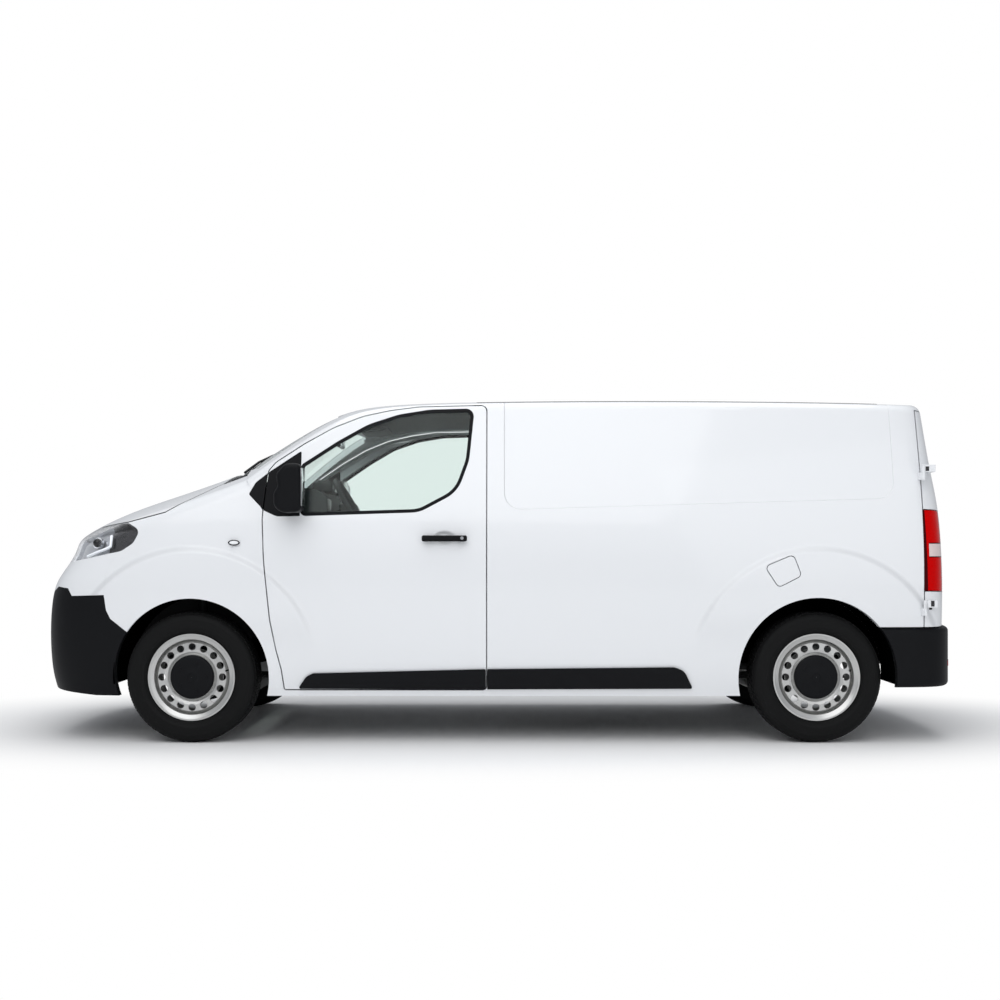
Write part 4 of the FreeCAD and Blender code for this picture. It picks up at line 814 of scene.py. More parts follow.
@dataclass
class Headlamp:
    """A headlamp: clear lens, lined bowl, light guide and projector."""

    palette: Palette
    name: str
    side: int

    GUIDE_LINE = ((-2.026, 1.094), (-2.028, 1.030), (-2.050, 1.019), (-2.110, 1.000), (-2.166, 0.981))
    SPLIT = -2.035

    def build(self) -> None:
        """Builds the lamp's pieces."""
        self.skin = BVHTree.FromBMesh(outer_skin("headlamps", self.side))
        lens = outer_skin("headlamps", self.side)
        thicken(lens, 0.003)
        lens_piece = from_mesh(lens).done("headlamp_lens_" + self.name, "body", Slot.CLEAR,
                                          self.palette.of(CLEAR), 30)
        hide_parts("headlamps")
        self._bowl("headlamp_reflector_", -1, CHROME_SATIN)
        self._bowl("headlamp_bezel_", 1, GLOSS_TRIM)
        guide = [self._on_skin(x, z, 0.016) for x, z in self.GUIDE_LINE]
        Form().tube(guide, 0.0075, 12).done("light_guide_" + self.name, "body", Slot.CLEAR,
                                            self.palette.of(GUIDE), 40)
        eye = Vector(self._on_skin(-2.105, 1.050, 0.030))
        out = Vector(self._on_skin(-2.105, 1.050, 0.012))
        Form().bar(eye, out, 0.030, 32).done("projector_ring_" + self.name, "body", Slot.CLEAR,
                                             self.palette.of(CHROME))
        Form().ball(out, 0.024, 24).done("projector_" + self.name, "body", Slot.CLEAR,
                                         self.palette.of(GLOSS_TRIM), 60)

    def _on_skin(self, x: float, z: float, depth: float) -> Point:
        """A point behind the lens."""
        hit, normal, _, _ = self.skin.ray_cast(Vector((x, self.side * 2.0, z)), Vector((0, -self.side, 0)))
        return tuple(hit - normal * depth)

    def _bowl(self, prefix: str, part: int, finish: Finish) -> None:
        """One half of the lined bowl behind the lens.

        Args:
            prefix: start of the piece's name.
            part: -1 for the front half, 1 for the rear half.
            finish: its finish.
        """
        bm = outer_skin("headlamps", self.side)
        push(bm, 0.005)
        centre = sum((v.co for v in bm.verts), Vector()) / len(bm.verts)
        for v in bm.verts:
            v.co += (centre - v.co) * 0.03
        rim = [e for e in bm.edges if len(e.link_faces) == 1]
        floor = list(bm.faces)
        bm.normal_update()
        inward = {v: v.co - v.normal * 0.032 for v in bm.verts}
        edge_verts = {v for e in rim for v in e.verts}
        lip = {v: bm.verts.new(v.co) for v in edge_verts}
        loops = [(loop.vert, loop.link_loop_next.vert) for f in floor for loop in f.loops
                 if len(loop.edge.link_faces) == 1]
        for v, place in inward.items():
            v.co = place
        for a, b in loops:
            bm.faces.new((b, a, lip[a], lip[b]))
        bmesh.ops.bisect_plane(bm, geom=bm.verts[:] + bm.edges[:] + bm.faces[:], plane_co=(self.SPLIT, 0, 0),
                               plane_no=(1, 0, 0), clear_inner=part > 0, clear_outer=part < 0)
        thicken(bm, 0.0015)
        from_mesh(bm).done(prefix + self.name, "body", Slot.CLEAR, self.palette.of(finish), 30)


@dataclass
class SideFurniture:
    """What the driver's and passenger's sides carry: lock, mirror glass and repeater."""

    palette: Palette
    name: str
    side: int

    def build(self) -> None:
        """Builds the small pieces of one side."""
        door = "door_" + self.name
        y = self.side * 0.989
        lock = Form().bar((-0.170, y - self.side * 0.004, 1.072), (-0.170, y + self.side * 0.0012, 1.072),
                          0.0085, 24)
        lock.done("door_lock_" + self.name, door, Slot.TRIM, self.palette.of(CHROME))
        glass = Form().box((-0.9895, min(self.side * 0.975, self.side * 1.085), 1.235),
                           (-0.9860, max(self.side * 0.975, self.side * 1.085), 1.430), 0.0016)
        glass.done("mirror_glass_" + self.name, door, Slot.CLEAR, self.palette.of(CHROME))
        self._oval("side_repeater_", (0.027, 0.0055, 0.0115), GUIDE)
        self._oval("repeater_rim_", (0.031, 0.0042, 0.0155), GLOSS_TRIM)

    def _oval(self, prefix: str, reach: Point, finish: Finish) -> None:
        """A flat oval on the wing.

        Args:
            prefix: start of the piece's name.
            reach: its half lengths.
            finish: its finish.
        """
        form = Form().ball((0, 0, 0), 1.0, 32)
        for v in form.bm.verts:
            v.co = Vector((-1.357 + v.co.x * reach[0], self.side * 0.9545 + v.co.y * reach[1],
                           1.048 + v.co.z * reach[2]))
        form.done(prefix + self.name, "body", Slot.CLEAR, self.palette.of(finish), 60)


@dataclass(frozen=True)
class ArchSize:
    """Sizes of one axle's arch liners."""

    outer: float
    inboard: float
    outboard: float


FRONT_ARCH = ArchSize(0.4145, 0.504, 0.890)
REAR_ARCH = ArchSize(0.4165, 0.6235, 0.905)


@dataclass
class ArchLinerAndShade:
    """The black liner of one wheel arch. It is darkened past black plastic, with no reflection, as painted
    shade, and it has a dark wall behind the tyre that is painted shade too.
    """

    palette: Palette
    place: str
    x: float
    side: int

    SHEET = 0.003
    ARC_REACH = 96.0
    WALL_REACH = 82.0
    WALL_FOOT = 0.240
    WALL_GAP = 0.001
    STEPS = 40

    def build(self) -> None:
        """Builds the arc over the tyre and the wall inboard of it. The wall is a dark sheet of painted shade
        that hides the wheelhouse behind the tyre.
        """
        size = FRONT_ARCH if self.x < 0 else REAR_ARCH
        inner = size.outer - self.SHEET
        wall = size.inboard + self.SHEET
        form = Form()
        self._sweep(form, self.ARC_REACH, ((inner, size.inboard), (size.outer, size.inboard),
                                           (size.outer, size.outboard), (inner, size.outboard)))
        # The wall: painted shade standing in for the dark inside of the arch behind the tyre.
        top = inner - self.WALL_GAP
        self._sweep(form, self.WALL_REACH, ((self.WALL_FOOT, size.inboard), (top, size.inboard),
                                            (top, wall), (self.WALL_FOOT, wall)))
        form.done("arch_liner_and_shade_" + self.place, "body", Slot.TANK, self.palette.of(LINER_AND_SHADE))

    def _sweep(self, form: Form, reach: float, section: Sequence[Pair]) -> None:
        """Carries a four-cornered section round the arch.

        Args:
            form: the form that takes it.
            reach: how far it goes to either side of the top, in degrees.
            section: (radius, distance outboard) pairs of its corners.
        """
        verts: List[Vector] = []
        faces: List[Tuple[int, ...]] = [(3, 2, 1, 0), tuple(4 * self.STEPS + i for i in range(4))]
        for k in range(self.STEPS + 1):
            angle = math.radians(-reach + 2 * reach * k / self.STEPS)
            verts += [Vector((self.x + r * math.sin(angle), self.side * d, ARCH_HEIGHT + r * math.cos(angle)))
                      for r, d in section]
            if k:
                base = 4 * (k - 1)
                faces += [(base + i, base + j, base + 4 + j, base + 4 + i)
                          for i, j in ((0, 1), (1, 2), (2, 3), (3, 0))]
        form.solid(verts, faces)


@dataclass
class Applique:
    """A thin panel laid on a CAD surface, found by rays and raised by a relief."""

    node: str
    toward: Point
    start: Callable[[float, float], Point]
    relief: Callable[[float, float], float]
    steps: Tuple[int, int] = (24, 12)
    back: float = 0.0006

    def form(self) -> Form:
        """The panel's closed form: a raised face, a back and the walls between."""
        tree = BVHTree.FromBMesh(merged_copy(self.node))
        way = Vector(self.toward)
        nu, nv = self.steps
        rows: List[List[Tuple[Vector, Vector]]] = []
        for j in range(nv + 1):
            row = []
            for i in range(nu + 1):
                u, v = i / nu, j / nv
                hit = tree.ray_cast(Vector(self.start(u, v)), way)[0]
                if hit is None:
                    raise ValueError("%s: no surface at %.2f, %.2f" % (self.node, u, v))
                row.append((hit - way * self.relief(u, v), hit - way * self.back))
            rows.append(row)
        form = Form()
        grid = [[[form.bm.verts.new(pair[k]) for pair in row] for row in rows] for k in (0, 1)]
        for k, layer in enumerate(grid):
            for j in range(nv):
                for i in range(nu):
                    quad = (layer[j][i], layer[j][i + 1], layer[j + 1][i + 1], layer[j + 1][i])
                    form.bm.faces.new(quad if k == 0 else tuple(reversed(quad)))
        edge = [(0, i) for i in range(nu)] + [(j, nu) for j in range(nv)]
        edge += [(nv, i) for i in range(nu, 0, -1)] + [(j, 0) for j in range(nv, 0, -1)]
        for (j0, i0), (j1, i1) in zip(edge, edge[1:] + edge[:1]):
            form.bm.faces.new((grid[0][j0][i0], grid[1][j0][i0], grid[1][j1][i1], grid[0][j1][i1]))
        return form


def hill(value: float, low: float, high: float, soft: float) -> float:
    """A smooth plateau: 1 between low and high, 0 beyond them by soft."""
    away = max(low - value, value - high, 0.0) / soft
    return 0.0 if away >= 1 else 1 - away * away * (3 - 2 * away)


def window(u: float, v: float, soft_u: float, soft_v: float) -> float:
    """A plateau over a panel that falls to 0 at its edges."""
    return min(hill(u, soft_u, 1 - soft_u, soft_u), hill(v, soft_v, 1 - soft_v, soft_v))


@dataclass
class Cab:
    """Linings and small furniture of the cab."""

    palette: Palette

    CARD_FRONT = ((0.360, -1.060), (0.490, -1.085), (0.646, -1.112), (0.958, -1.143), (1.165, -1.155))
    CARD_REAR = -0.098

    def build(self) -> None:
        """Builds the cab's linings, mirror, visors and dashboard details."""
        for name, side in SIDES:
            self._card(name, side)
        self._headliner()
        self._mirror()
        self._dash()

    def _front_at(self, z: float) -> float:
        """Where a door card begins at a height."""
        for (z0, x0), (z1, x1) in zip(self.CARD_FRONT, self.CARD_FRONT[1:]):
            if z <= z1:
                return x0 + (x1 - x0) * (z - z0) / (z1 - z0)
        return self.CARD_FRONT[-1][1]

    def _card(self, name: str, side: int) -> None:
        """A front door's lining with arm rest, pocket and lever.

        Args:
            name: the door's side in words.
            side: -1 for the vehicle's left, 1 for its right.
        """
        low, high = self.CARD_FRONT[0][0], self.CARD_FRONT[-1][0]

        def start(u: float, v: float) -> Point:
            """Where the ray of a point of the card starts."""
            z = low + (high - low) * v
            front = self._front_at(z)
            return (front + (self.CARD_REAR - front) * u, side * 0.55, z)

        def relief(u: float, v: float) -> float:
            """How far the card stands off the door."""
            x, _, z = start(u, v)
            rest = hill(x, -0.74, -0.24, 0.10) * hill(z, 0.905, 0.945, 0.035) * 0.052
            pocket = hill(x, -0.98, -0.22, 0.05) * hill(z, 0.400, 0.560, 0.04) * 0.030
            hollow = hill(x, -0.66, -0.40, 0.05) * hill(z, 0.995, 0.995, 0.03) * 0.006
            speaker = -0.004 * hill(math.hypot(x + 0.985, z - 0.640), 0.0, 0.070, 0.012)
            return 0.003 + window(u, v, 0.03, 0.04) * (0.008 + rest + pocket - hollow + speaker)

        card = Applique("door_" + name, (0, side, 0), start, relief, (96, 80)).form()
        card.done("door_card_" + name, "door_" + name, Slot.CABIN, self.palette.of(CABIN), 60)
        lever = Form().box((-0.92, min(side * 0.845, side * 0.862), 1.010),
                           (-0.80, max(side * 0.845, side * 0.862), 1.034), 0.007, 3)
        lever.bar((-0.905, side * 0.856, 1.022), (-0.905, side * 0.880, 1.022), 0.007, 16)
        lever.done("door_lever_" + name, "door_" + name, Slot.CABIN, self.palette.of(CHROME_SATIN))

    def _headliner(self) -> None:
        """The roof's lining over the cab, and two sun visors."""
        def start(u: float, v: float) -> Point:
            """Where the ray of a point of the lining starts."""
            y = -0.645 + 1.29 * v
            front = -0.845 + 0.10 * (y / 0.645) ** 2
            return (front + (0.095 - front) * u, y, 1.30)

        liner = Applique("roof_panel", (0, 0, 1), start,
                         lambda u, v: 0.004 + 0.008 * window(u, v, 0.05, 0.05), (48, 48)).form()
        liner.done("headliner", "body", Slot.CABIN, self.palette.of(LINING), 60)
        for side in (-1, 1):
            visor = Form().box((-0.085, -0.185, -0.008), (0.085, 0.185, 0.008), 0.007, 3)
            tilt = Matrix.Rotation(math.radians(-6), 4, "Y")
            turn = Matrix.Translation((-0.735, side * 0.36, 1.735)) @ tilt
            bmesh.ops.transform(visor.bm, matrix=turn, verts=visor.bm.verts[:])
            visor.done("sun_visor_%s" % ("left" if side < 0 else "right"), "body", Slot.CABIN,
                       self.palette.of(LINING))

    def _mirror(self) -> None:
        """The inner mirror on its stalk."""
        form = Form().box((-0.934, -0.118, 1.612), (-0.906, 0.118, 1.676), 0.012, 4)
        form.bar((-0.925, 0.0, 1.655), (-0.895, 0.0, 1.732), 0.009, 16)
        form.done("inner_mirror", "body", Slot.CABIN, self.palette.of(GLOSS_TRIM))
        glass = Form().box((-0.9068, -0.106, 1.622), (-0.9045, 0.106, 1.667), 0.001)
        glass.done("inner_mirror_glass", "body", Slot.CABIN, self.palette.of(CHROME))

    def _dash(self) -> None:
        """The dashboard's hood, dials, screen and vents."""
        hood = Form().box((-1.010, -0.560, 1.325), (-0.900, -0.240, 1.395), 0.028, 4)
        hood.done("instrument_hood", "body", Slot.CABIN, self.palette.of(CABIN))
        dials = Form().box((-0.9015, -0.535, 1.335), (-0.8985, -0.265, 1.384), 0.001)
        dials.done("instrument_glass", "body", Slot.CABIN, self.palette.of(GLOSS_TRIM))
        screen = Form().box((-0.915, -0.080, 1.290), (-0.890, 0.160, 1.415), 0.006, 3)
        screen.done("centre_screen", "body", Slot.CABIN, self.palette.of(GLOSS_TRIM))
        vents = Form()
        for y in (-0.72, -0.16, 0.24, 0.70):
            for k in range(5):
                z = 1.222 + 0.012 * k
                vents.box((-0.897, y - 0.050, z), (-0.884, y + 0.050, z + 0.005), 0.0015)
            vents.box((-0.899, y - 0.058, 1.212), (-0.892, y + 0.058, 1.284), 0.003)
        vents.done("air_vents", "body", Slot.CABIN, self.palette.of(GLOSS_TRIM))


@dataclass
class Ends:
    """What nose and tail carry: blank plates, rear handle, upper brake lamp, reflectors, roof strips and
    painted shade beside the rear hinges.
    """

    palette: Palette

    HINGES = (("upper", 2.259, 1.423), ("lower", 2.276, 0.722))

    def build(self) -> None:
        """Builds the pieces at both ends."""
        self._rear_panel("plate_holder_rear", (-0.595, -0.055), (0.785, 0.905), 0.0045, TRIM, Slot.TRIM)
        self._rear_panel("plate_rear", (-0.585, -0.065), (0.790, 0.900), 0.0065, PLATE, Slot.TRIM, 0.0050)
        self._rear_panel("plate_lamp_bar", (-0.480, -0.170), (0.935, 0.972), 0.016, TRIM, Slot.TRIM)
        self._rear_panel("upper_brake_lamp", (-0.230, -0.030), (1.672, 1.698), 0.010, RED_LENS, Slot.RED)
        self._rear_panel("rear_handle", (-0.150, -0.040), (1.010, 1.045), 0.020, TRIM, Slot.TRIM)
        for name, side in SIDES:
            low, high = sorted((side * 0.800, side * 0.620))
            panel = Applique("bumper_rear", (-1, 0, 0),
                             lambda u, v: (3.0, low + (high - low) * u, 0.395 + 0.028 * v),
                             lambda u, v: 0.003, (16, 2)).form()
            panel.done("rear_reflector_" + name, "body", Slot.RED, self.palette.of(RED_LENS))
            self._roof_strip(name, side)
            # Painted shade beside each hinge of the rear doors.
            for place, x, z in self.HINGES:
                self._hinge_shade("hinge_shade_%s_%s" % (place, name), name, side, x, z)
        plate = Form().box((-2.4903, -0.2600, 0.5005), (-2.4860, 0.2600, 0.6115))
        plate.done("plate_front", "body", Slot.TRIM, self.palette.of(PLATE))

    def _roof_strip(self, name: str, side: int) -> None:
        """The dark moulding along one edge of the roof."""
        strip = Applique("side_frame_" + name, (0, 0, -1),
                         lambda u, v: (-0.10 + 2.15 * u, side * (0.712 + 0.012 * v), 3.0),
                         lambda u, v: 0.0025, (60, 2)).form()
        strip.done("roof_strip_" + name, "body", Slot.TRIM, self.palette.of(TRIM))

    def _hinge_shade(self, piece: str, name: str, side: int, x: float, z: float) -> None:
        """A dark strip laid on a rear door beside one hinge: painted shade that stands in for the shadow in
        the hinge's gap.

        Args:
            piece: the piece's name.
            name: the door's side in words.
            side: the door's side.
            x: the painted shade's middle along the van.
            z: its height.
        """
        # Painted shade: a thin dark gloss strip on the door surface, not a real slot.
        slot = Applique("rear_door_" + name, (0, -side, 0),
                        lambda u, v: (x - 0.009 + 0.018 * u, side * 1.3, z - 0.024 + 0.048 * v),
                        lambda u, v: 0.0012, (4, 8)).form()
        slot.done(piece, "rear_door_" + name, Slot.TRIM, self.palette.of(GLOSS_TRIM))

    def _rear_panel(self, name: str, across: Pair, up: Pair, proud: float, finish: Finish, slot: Slot,
                    back: float = 0.0006) -> None:
        """A panel on the left rear door.

        Args:
            name: the piece's name.
            across: its lowest and highest y.
            up: its lowest and highest z.
            proud: how far it stands out.
            finish: its finish.
            slot: the record's material slot.
            back: gap between the door and its back.
        """
        panel = Applique("rear_door_left", (-1, 0, 0),
                         lambda u, v: (3.0, across[0] + (across[1] - across[0]) * u,
                                       up[0] + (up[1] - up[0]) * v),
                         lambda u, v: proud, (20, 6), back).form()
        panel.done(name, "rear_door_left", slot, self.palette.of(finish))


@dataclass
class LoadSpace:
    """Lashing rings, a roof lamp and the floor mat of the load space."""

    palette: Palette

    FLOOR = 0.565

    def build(self) -> None:
        """Builds the load space's pieces."""
        mat = Form().box((0.116, -0.600, self.FLOOR + 0.0003), (2.215, 0.600, self.FLOOR + 0.004), 0.0015)
        mat.done("floor_mat", "body", Slot.TANK, self.palette.of(MAT))
        rings = Form()
        for x in (0.30, 1.05, 2.10):
            for side in (-1, 1):
                y = side * 0.575
                rings.box((x - 0.030, y - 0.018, self.FLOOR + 0.004),
                          (x + 0.030, y + 0.018, self.FLOOR + 0.008), 0.0015)
                arc = [(x + 0.024 * math.cos(a), y, self.FLOOR + 0.010 + 0.030 * math.sin(a))
                       for a in (math.pi * k / 8 for k in range(9))]
                rings.tube(arc, 0.004, 10)
        rings.done("lashing_rings", "body", Slot.IRON, self.palette.of(STEEL))
        lamp = Applique("roof_panel", (0, 0, 1), lambda u, v: (1.10 + 0.20 * u, -0.04 + 0.08 * v, 1.30),
                        lambda u, v: 0.003 + 0.012 * window(u, v, 0.1, 0.2), (16, 10)).form()
        lamp.done("load_lamp", "body", Slot.CLEAR, self.palette.of(GUIDE), 60)


@dataclass
class Pad:
    """A stuffed pad: a side profile carried across, swollen by cloth simulation, then sewn."""

    name: str
    profile: Sequence[Pair]
    low: float
    high: float
    seams: Sequence[float] = ()
    channels: Sequence[Tuple[Point, Point]] = ()
    voxel: float = 0.008
    cap: float = 0.016

    SHRINK = 0.007
    ROUNDING = 0.022
    PRESSURE = 4.0
    SEAM_DEPTH = 0.007
    SEAM_WIDTH = 0.009

    def start(self) -> bpy.types.Object:
        """Makes the pad's plain form, evenly meshed and ready to swell.

        Returns:
            The object, with its cloth modifier on it.
        """
        total = Vector((sum(x for x, _ in self.profile), sum(z for _, z in self.profile)))
        middle = total / len(self.profile)
        ring = []
        for x, z in self.profile:
            away = Vector((x, z)) - middle
            ring.append(middle + away * (1 - self.SHRINK / away.length))
        bm = bmesh.new()
        y0, y1 = self.low + self.SHRINK, self.high - self.SHRINK
        ends = [[bm.verts.new((p.x, y, p.y)) for p in ring] for y in (y0, y1)]
        count = len(ring)
        bm.faces.new(ends[0])
        bm.faces.new(list(reversed(ends[1])))
        for i in range(count):
            j = (i + 1) % count
            bm.faces.new((ends[0][j], ends[0][i], ends[1][i], ends[1][j]))
        bmesh.ops.recalc_face_normals(bm, faces=bm.faces[:])
        bmesh.ops.bevel(bm, geom=bm.edges[:], offset=self.ROUNDING, segments=3, profile=0.5, affect="EDGES",
                        material=-1)
        mesh = bpy.data.meshes.new(self.name)
        bm.to_mesh(mesh)
        bm.free()
        obj = bpy.data.objects.new(self.name, mesh)
        bpy.context.scene.collection.objects.link(obj)
        remesh = obj.modifiers.new("Even", "REMESH")
        remesh.mode = "VOXEL"
        remesh.voxel_size = self.voxel
        even = bpy.data.meshes.new_from_object(obj.evaluated_get(bpy.context.evaluated_depsgraph_get()))
        obj.modifiers.clear()
        obj.data = even
        cloth = obj.modifiers.new("Swell", "CLOTH")
        cloth.settings.use_pressure = True
        cloth.settings.uniform_pressure_force = self.PRESSURE
        cloth.settings.effector_weights.gravity = 0.0
        cloth.point_cache.frame_start = 1
        cloth.point_cache.frame_end = Stuffing.FRAMES
        return obj

    def finish(self, obj: bpy.types.Object, material: bpy.types.Material, fill: float) -> bpy.types.Object:
        """Args:
            obj: the simulated pad.
            material: its cover.
            fill: how tight the pad is, from 0 to 1; not used.

        Returns:
            The finished pad.
        """
        rest = [v.co.copy() for v in obj.data.vertices]
        swollen = bpy.data.meshes.new_from_object(obj.evaluated_get(bpy.context.evaluated_depsgraph_get()))
        obj.modifiers.clear()
        for v, home in zip(swollen.vertices, rest):
            moved = v.co - home
            if moved.length > self.cap:
                v.co = home + moved * (self.cap / moved.length)
        bm = bmesh.new()
        bm.from_mesh(swollen)
        bmesh.ops.smooth_vert(bm, verts=bm.verts[:], factor=0.5, use_axis_x=True, use_axis_y=True,
                              use_axis_z=True)
        bm.normal_update()
        inward = {}
        for v in bm.verts:
            depth = sum(self._dip(abs(v.co.y - at)) for at in self.seams)
            for a, b in self.channels:
                depth += self._dip(self._from_line(v.co, Vector(a), Vector(b)))
            inward[v] = v.co - v.normal * min(depth, self.SEAM_DEPTH)
        for v, place in inward.items():
            v.co = place
        bm.to_mesh(swollen)
        bm.free()
        bpy.data.objects.remove(obj)
        pad = settle(swollen, self.name, "body", material, 80)
        fine = pad.modifiers.new("Fine", "SUBSURF")
        fine.levels = 1
        fine.render_levels = 1
        return pad

    def _dip(self, distance: float) -> float:
        """How deep a seam pulls the cover in at a distance from it."""
        return self.SEAM_DEPTH * math.exp(-((distance / self.SEAM_WIDTH) ** 2))

    @staticmethod
    def _from_line(point: Vector, a: Vector, b: Vector) -> float:
        """Distance from a point to the stretch between a and b."""
        along = b - a
        share = max(0.0, min(1.0, (point - a).dot(along) / along.length_squared))
        return (point - a - along * share).length


class Stuffing:
    """Simulates all pads in one run of frames."""

    FRAMES = 20

    def __init__(self, cover: bpy.types.Material) -> None:
        """Takes the material of the pads' covers."""
        self.cover = cover

    def fill(self, pads: Sequence[Pad], fill: float) -> List[bpy.types.Object]:
        """Swells and sews pads.

        Args:
            pads: the pads to make.
            fill: how tight they are.

        Returns:
            The finished pads.
        """
        plain = [pad.start() for pad in pads]
        for moment in range(1, self.FRAMES + 1):
            bpy.context.scene.frame_set(moment)
        return [pad.finish(obj, self.cover, fill) for pad, obj in zip(pads, plain)]


@dataclass
class Seat:
    """A seat: box, cushion, back and head restraints."""

    palette: Palette
    node: str
    low: float
    high: float
    heads: Sequence[float]

    CUSHION = ((-0.524, 0.842), (-0.530, 0.905), (-0.505, 0.955), (-0.430, 0.962), (-0.300, 0.950),
               (-0.110, 0.936), (-0.078, 0.900), (-0.078, 0.842))
    BACK = ((-0.104, 0.948), (-0.088, 1.060), (-0.060, 1.200), (-0.030, 1.350), (-0.002, 1.485),
            (0.022, 1.508), (0.076, 1.508), (0.078, 1.470), (0.034, 0.860), (-0.062, 0.860))
    CUSHION_CHANNELS = ((-0.400, 0.962), (-0.270, 0.952))
    BACK_CHANNELS = ((-0.082, 1.100), (-0.055, 1.230), (-0.028, 1.360))
    BOLSTER = 0.095
    DOUBLE_WIDTH = 0.7
    HEAD_HALF = 0.125
    HEAD_SEAM = 0.085
    HEAD = ((-0.004, 1.552), (-0.006, 1.640), (0.010, 1.712), (0.060, 1.716), (0.082, 1.690), (0.082, 1.560),
            (0.060, 1.548), (0.020, 1.546))

    def pads(self) -> List[Pad]:
        """The seat's pads, each as wide as the seat or its head restraint."""
        a, b = self.low, self.high
        seams = [a + self.BOLSTER, b - self.BOLSTER]
        if b - a > self.DOUBLE_WIDTH:
            seams.append((a + b) / 2)
        inner = (a + self.BOLSTER + 0.01, b - self.BOLSTER - 0.01)
        rows, lines = ([((x, inner[0], z), (x, inner[1], z)) for x, z in places]
                       for places in (self.CUSHION_CHANNELS, self.BACK_CHANNELS))
        found = [Pad(self.node + "_cushion", self.CUSHION, a, b, seams, rows),
                 Pad(self.node + "_back", self.BACK, a, b, seams, lines)]
        for k, y in enumerate(self.heads):
            found.append(Pad("%s_head_%d" % (self.node, k), self.HEAD, y - self.HEAD_HALF, y + self.HEAD_HALF,
                             [y - self.HEAD_SEAM, y + self.HEAD_SEAM], cap=0.010))
        return found

    def build(self, stuffing: Stuffing) -> None:
        """Builds the seat."""
        pads = stuffing.fill(self.pads(), 0.85)
        form = Form().box((-0.428, self.low + 0.05, 0.4703), (0.0, self.high - 0.05, 0.842), 0.012, 3)
        form.box((-0.500, self.low + 0.02, 0.800), (0.010, self.high - 0.02, 0.850), 0.010, 3)
        base = form.done(self.node + "_box", "body", Slot.CABIN, self.palette.of(CABIN))
        posts = Form()
        for y in self.heads:
            for side in (-0.05, 0.05):
                posts.bar((0.040, y + side, 1.480), (0.040, y + side, 1.575), 0.006, 16)
        rods = posts.done(self.node + "_posts", "body", Slot.CABIN, self.palette.of(CHROME_SATIN))
        for piece in pads + [base, rods]:
            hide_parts(self.node)


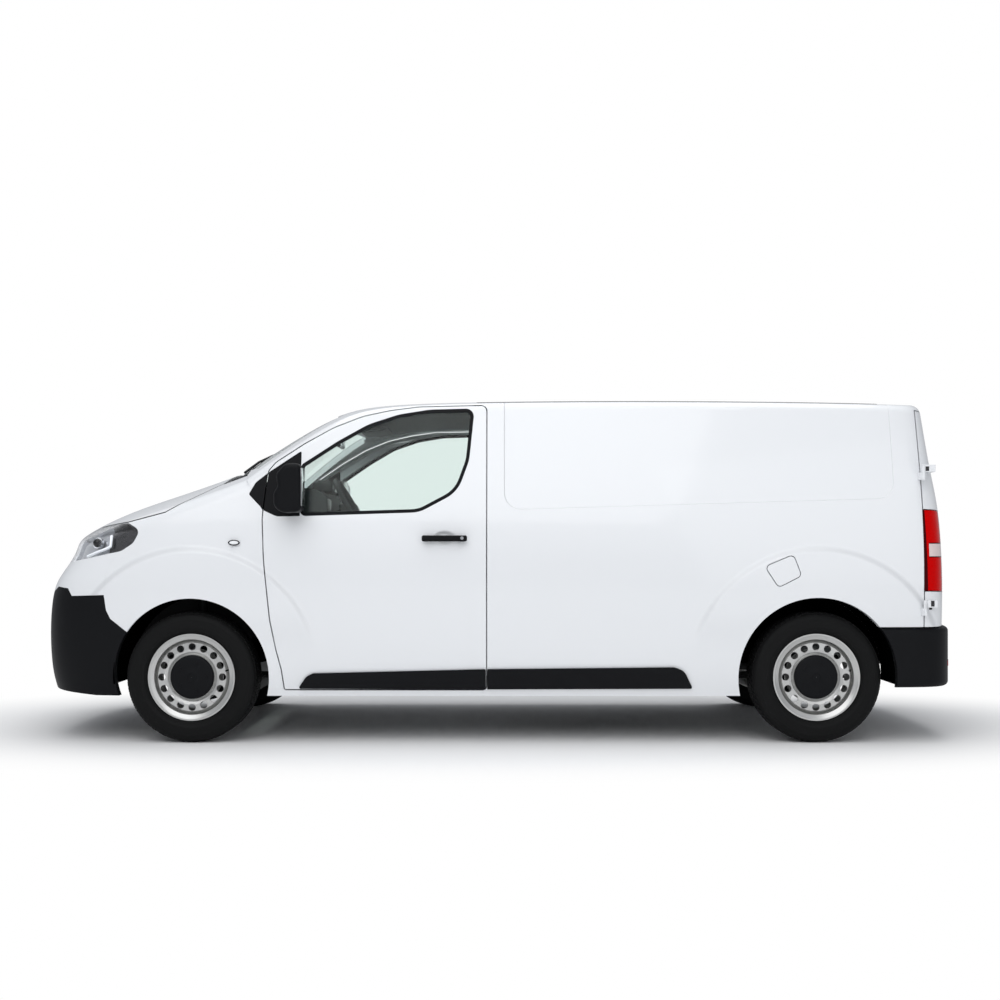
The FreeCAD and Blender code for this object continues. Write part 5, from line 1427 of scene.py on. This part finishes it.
@dataclass
class Studio:
    """Pale floor, soft lights, white surroundings and the camera."""

    def build(self) -> None:
        """Sets the stage up."""
        self._floor()
        self._world()
        self._light("Key", (-1.6, -8.5, 7.8), (0.0, -0.4, 0.9), 9.0, 468.0)
        self._light("Fill", (5.0, -9.0, 3.2), (0.6, 0.0, 0.9), 6.0, 85.0)
        self._light("Top", (0.0, 0.5, 9.0), (0.0, 0.0, 1.0), 9.0, 430.0)
        self._camera()

    def _floor(self) -> None:
        """The pale floor, which fades to white away from the van."""
        mesh = bpy.data.meshes.new("studio_floor")
        reach = 60.0
        mesh.from_pydata([(-reach, -reach, 0), (reach, -reach, 0), (reach, reach, 0), (-reach, reach, 0)], [],
                         [(0, 1, 2, 3)])
        floor = bpy.data.objects.new("studio_floor", mesh)
        bpy.context.scene.collection.objects.link(floor)
        material = bpy.data.materials.new("studio_floor")
        material.use_nodes = True
        nodes, links = material.node_tree.nodes, material.node_tree.links
        shader = nodes["Principled BSDF"]
        shader.inputs["Base Color"].default_value = (0.86, 0.86, 0.86, 1)
        shader.inputs["Roughness"].default_value = 0.7
        shader.inputs["Specular IOR Level"].default_value = 0.1
        where = nodes.new("ShaderNodeTexCoord")
        flat = nodes.new("ShaderNodeVectorMath")
        flat.operation = "MULTIPLY"
        flat.inputs[1].default_value = (1.0 / 3.4, 1.0 / 1.75, 0.0)
        links.new(where.outputs["Object"], flat.inputs[0])
        away = nodes.new("ShaderNodeVectorMath")
        away.operation = "LENGTH"
        links.new(flat.outputs[0], away.inputs[0])
        fade = nodes.new("ShaderNodeMapRange")
        fade.interpolation_type = "SMOOTHSTEP"
        fade.inputs["From Min"].default_value = 0.75
        fade.inputs["From Max"].default_value = 1.25
        links.new(away.outputs["Value"], fade.inputs["Value"])
        path = nodes.new("ShaderNodeLightPath")
        seen = nodes.new("ShaderNodeMath")
        seen.operation = "MULTIPLY"
        links.new(fade.outputs[0], seen.inputs[0])
        links.new(path.outputs["Is Camera Ray"], seen.inputs[1])
        white = nodes.new("ShaderNodeEmission")
        white.inputs["Strength"].default_value = 1.0
        mix = nodes.new("ShaderNodeMixShader")
        links.new(seen.outputs[0], mix.inputs[0])
        links.new(shader.outputs[0], mix.inputs[1])
        links.new(white.outputs[0], mix.inputs[2])
        links.new(mix.outputs[0], nodes["Material Output"].inputs["Surface"])
        mesh.materials.append(material)

    def _world(self) -> None:
        """Soft light from all round, and white behind the van."""
        world = bpy.data.worlds.new("studio")
        bpy.context.scene.world = world
        world.use_nodes = True
        nodes, links = world.node_tree.nodes, world.node_tree.links
        soft = nodes["Background"]
        soft.inputs["Color"].default_value = (0.92, 0.95, 1.0, 1)
        soft.inputs["Strength"].default_value = 0.46
        white = nodes.new("ShaderNodeBackground")
        white.inputs["Color"].default_value = (1, 1, 1, 1)
        white.inputs["Strength"].default_value = 1.0
        path = nodes.new("ShaderNodeLightPath")
        seen = nodes.new("ShaderNodeMath")
        seen.operation = "MAXIMUM"
        links.new(path.outputs["Is Camera Ray"], seen.inputs[0])
        links.new(path.outputs["Is Transmission Ray"], seen.inputs[1])
        mix = nodes.new("ShaderNodeMixShader")
        links.new(seen.outputs[0], mix.inputs[0])
        links.new(soft.outputs[0], mix.inputs[1])
        links.new(white.outputs[0], mix.inputs[2])
        links.new(mix.outputs[0], nodes["World Output"].inputs["Surface"])

    def _light(self, name: str, place: Point, aim: Point, size: float, power: float) -> None:
        """One square area light.

        Args:
            name: its name.
            place: where it stands.
            aim: the point that it looks at.
            size: its width.
            power: its power in watts.
        """
        data = bpy.data.lights.new(name, "AREA")
        data.shape = "SQUARE"
        data.size = size
        data.energy = power
        lamp = bpy.data.objects.new(name, data)
        bpy.context.scene.collection.objects.link(lamp)
        lamp.location = place
        lamp.rotation_mode = "QUATERNION"
        lamp.rotation_quaternion = (Vector(aim) - Vector(place)).to_track_quat("-Z", "Y")

    def _camera(self) -> None:
        """The camera square to the driver's side, at the photograph's distance."""
        data = bpy.data.cameras.new("Camera")
        data.sensor_width = 36.0
        data.lens = 48.2
        data.shift_x = -0.004
        data.shift_y = 0.05
        data.clip_end = 200.0
        camera = bpy.data.objects.new("Camera", data)
        bpy.context.scene.collection.objects.link(camera)
        camera.location = (0.0475, -7.915, 1.010)
        camera.rotation_euler = (math.radians(90.0), 0.0, 0.0)
        bpy.context.scene.camera = camera


def main() -> None:
    """Builds the van's looks and the studio."""
    logging.basicConfig(level=logging.INFO)
    scene = bpy.context.scene
    scene.view_settings.view_transform = "Standard"
    palette = Palette()
    Shell(palette).build()
    for place, x, side in WHEELS:
        Wheel(palette, place, x, side).build()
        ArchLinerAndShade(palette, place, x, side).build()
    stuffing = Stuffing(palette.of(CLOTH))
    Seat(palette, "seat_driver", -0.650, -0.150, (-0.400,)).build(stuffing)
    Seat(palette, "seat_bench", -0.100, 0.790, (0.130, 0.560)).build(stuffing)
    for section in (Cab(palette), Ends(palette), LoadSpace(palette)):
        section.build()
    for name, side in SIDES:
        Headlamp(palette, name, side).build()
        SideFurniture(palette, name, side).build()
    Studio().build()


if __name__ == "__main__":
    main()
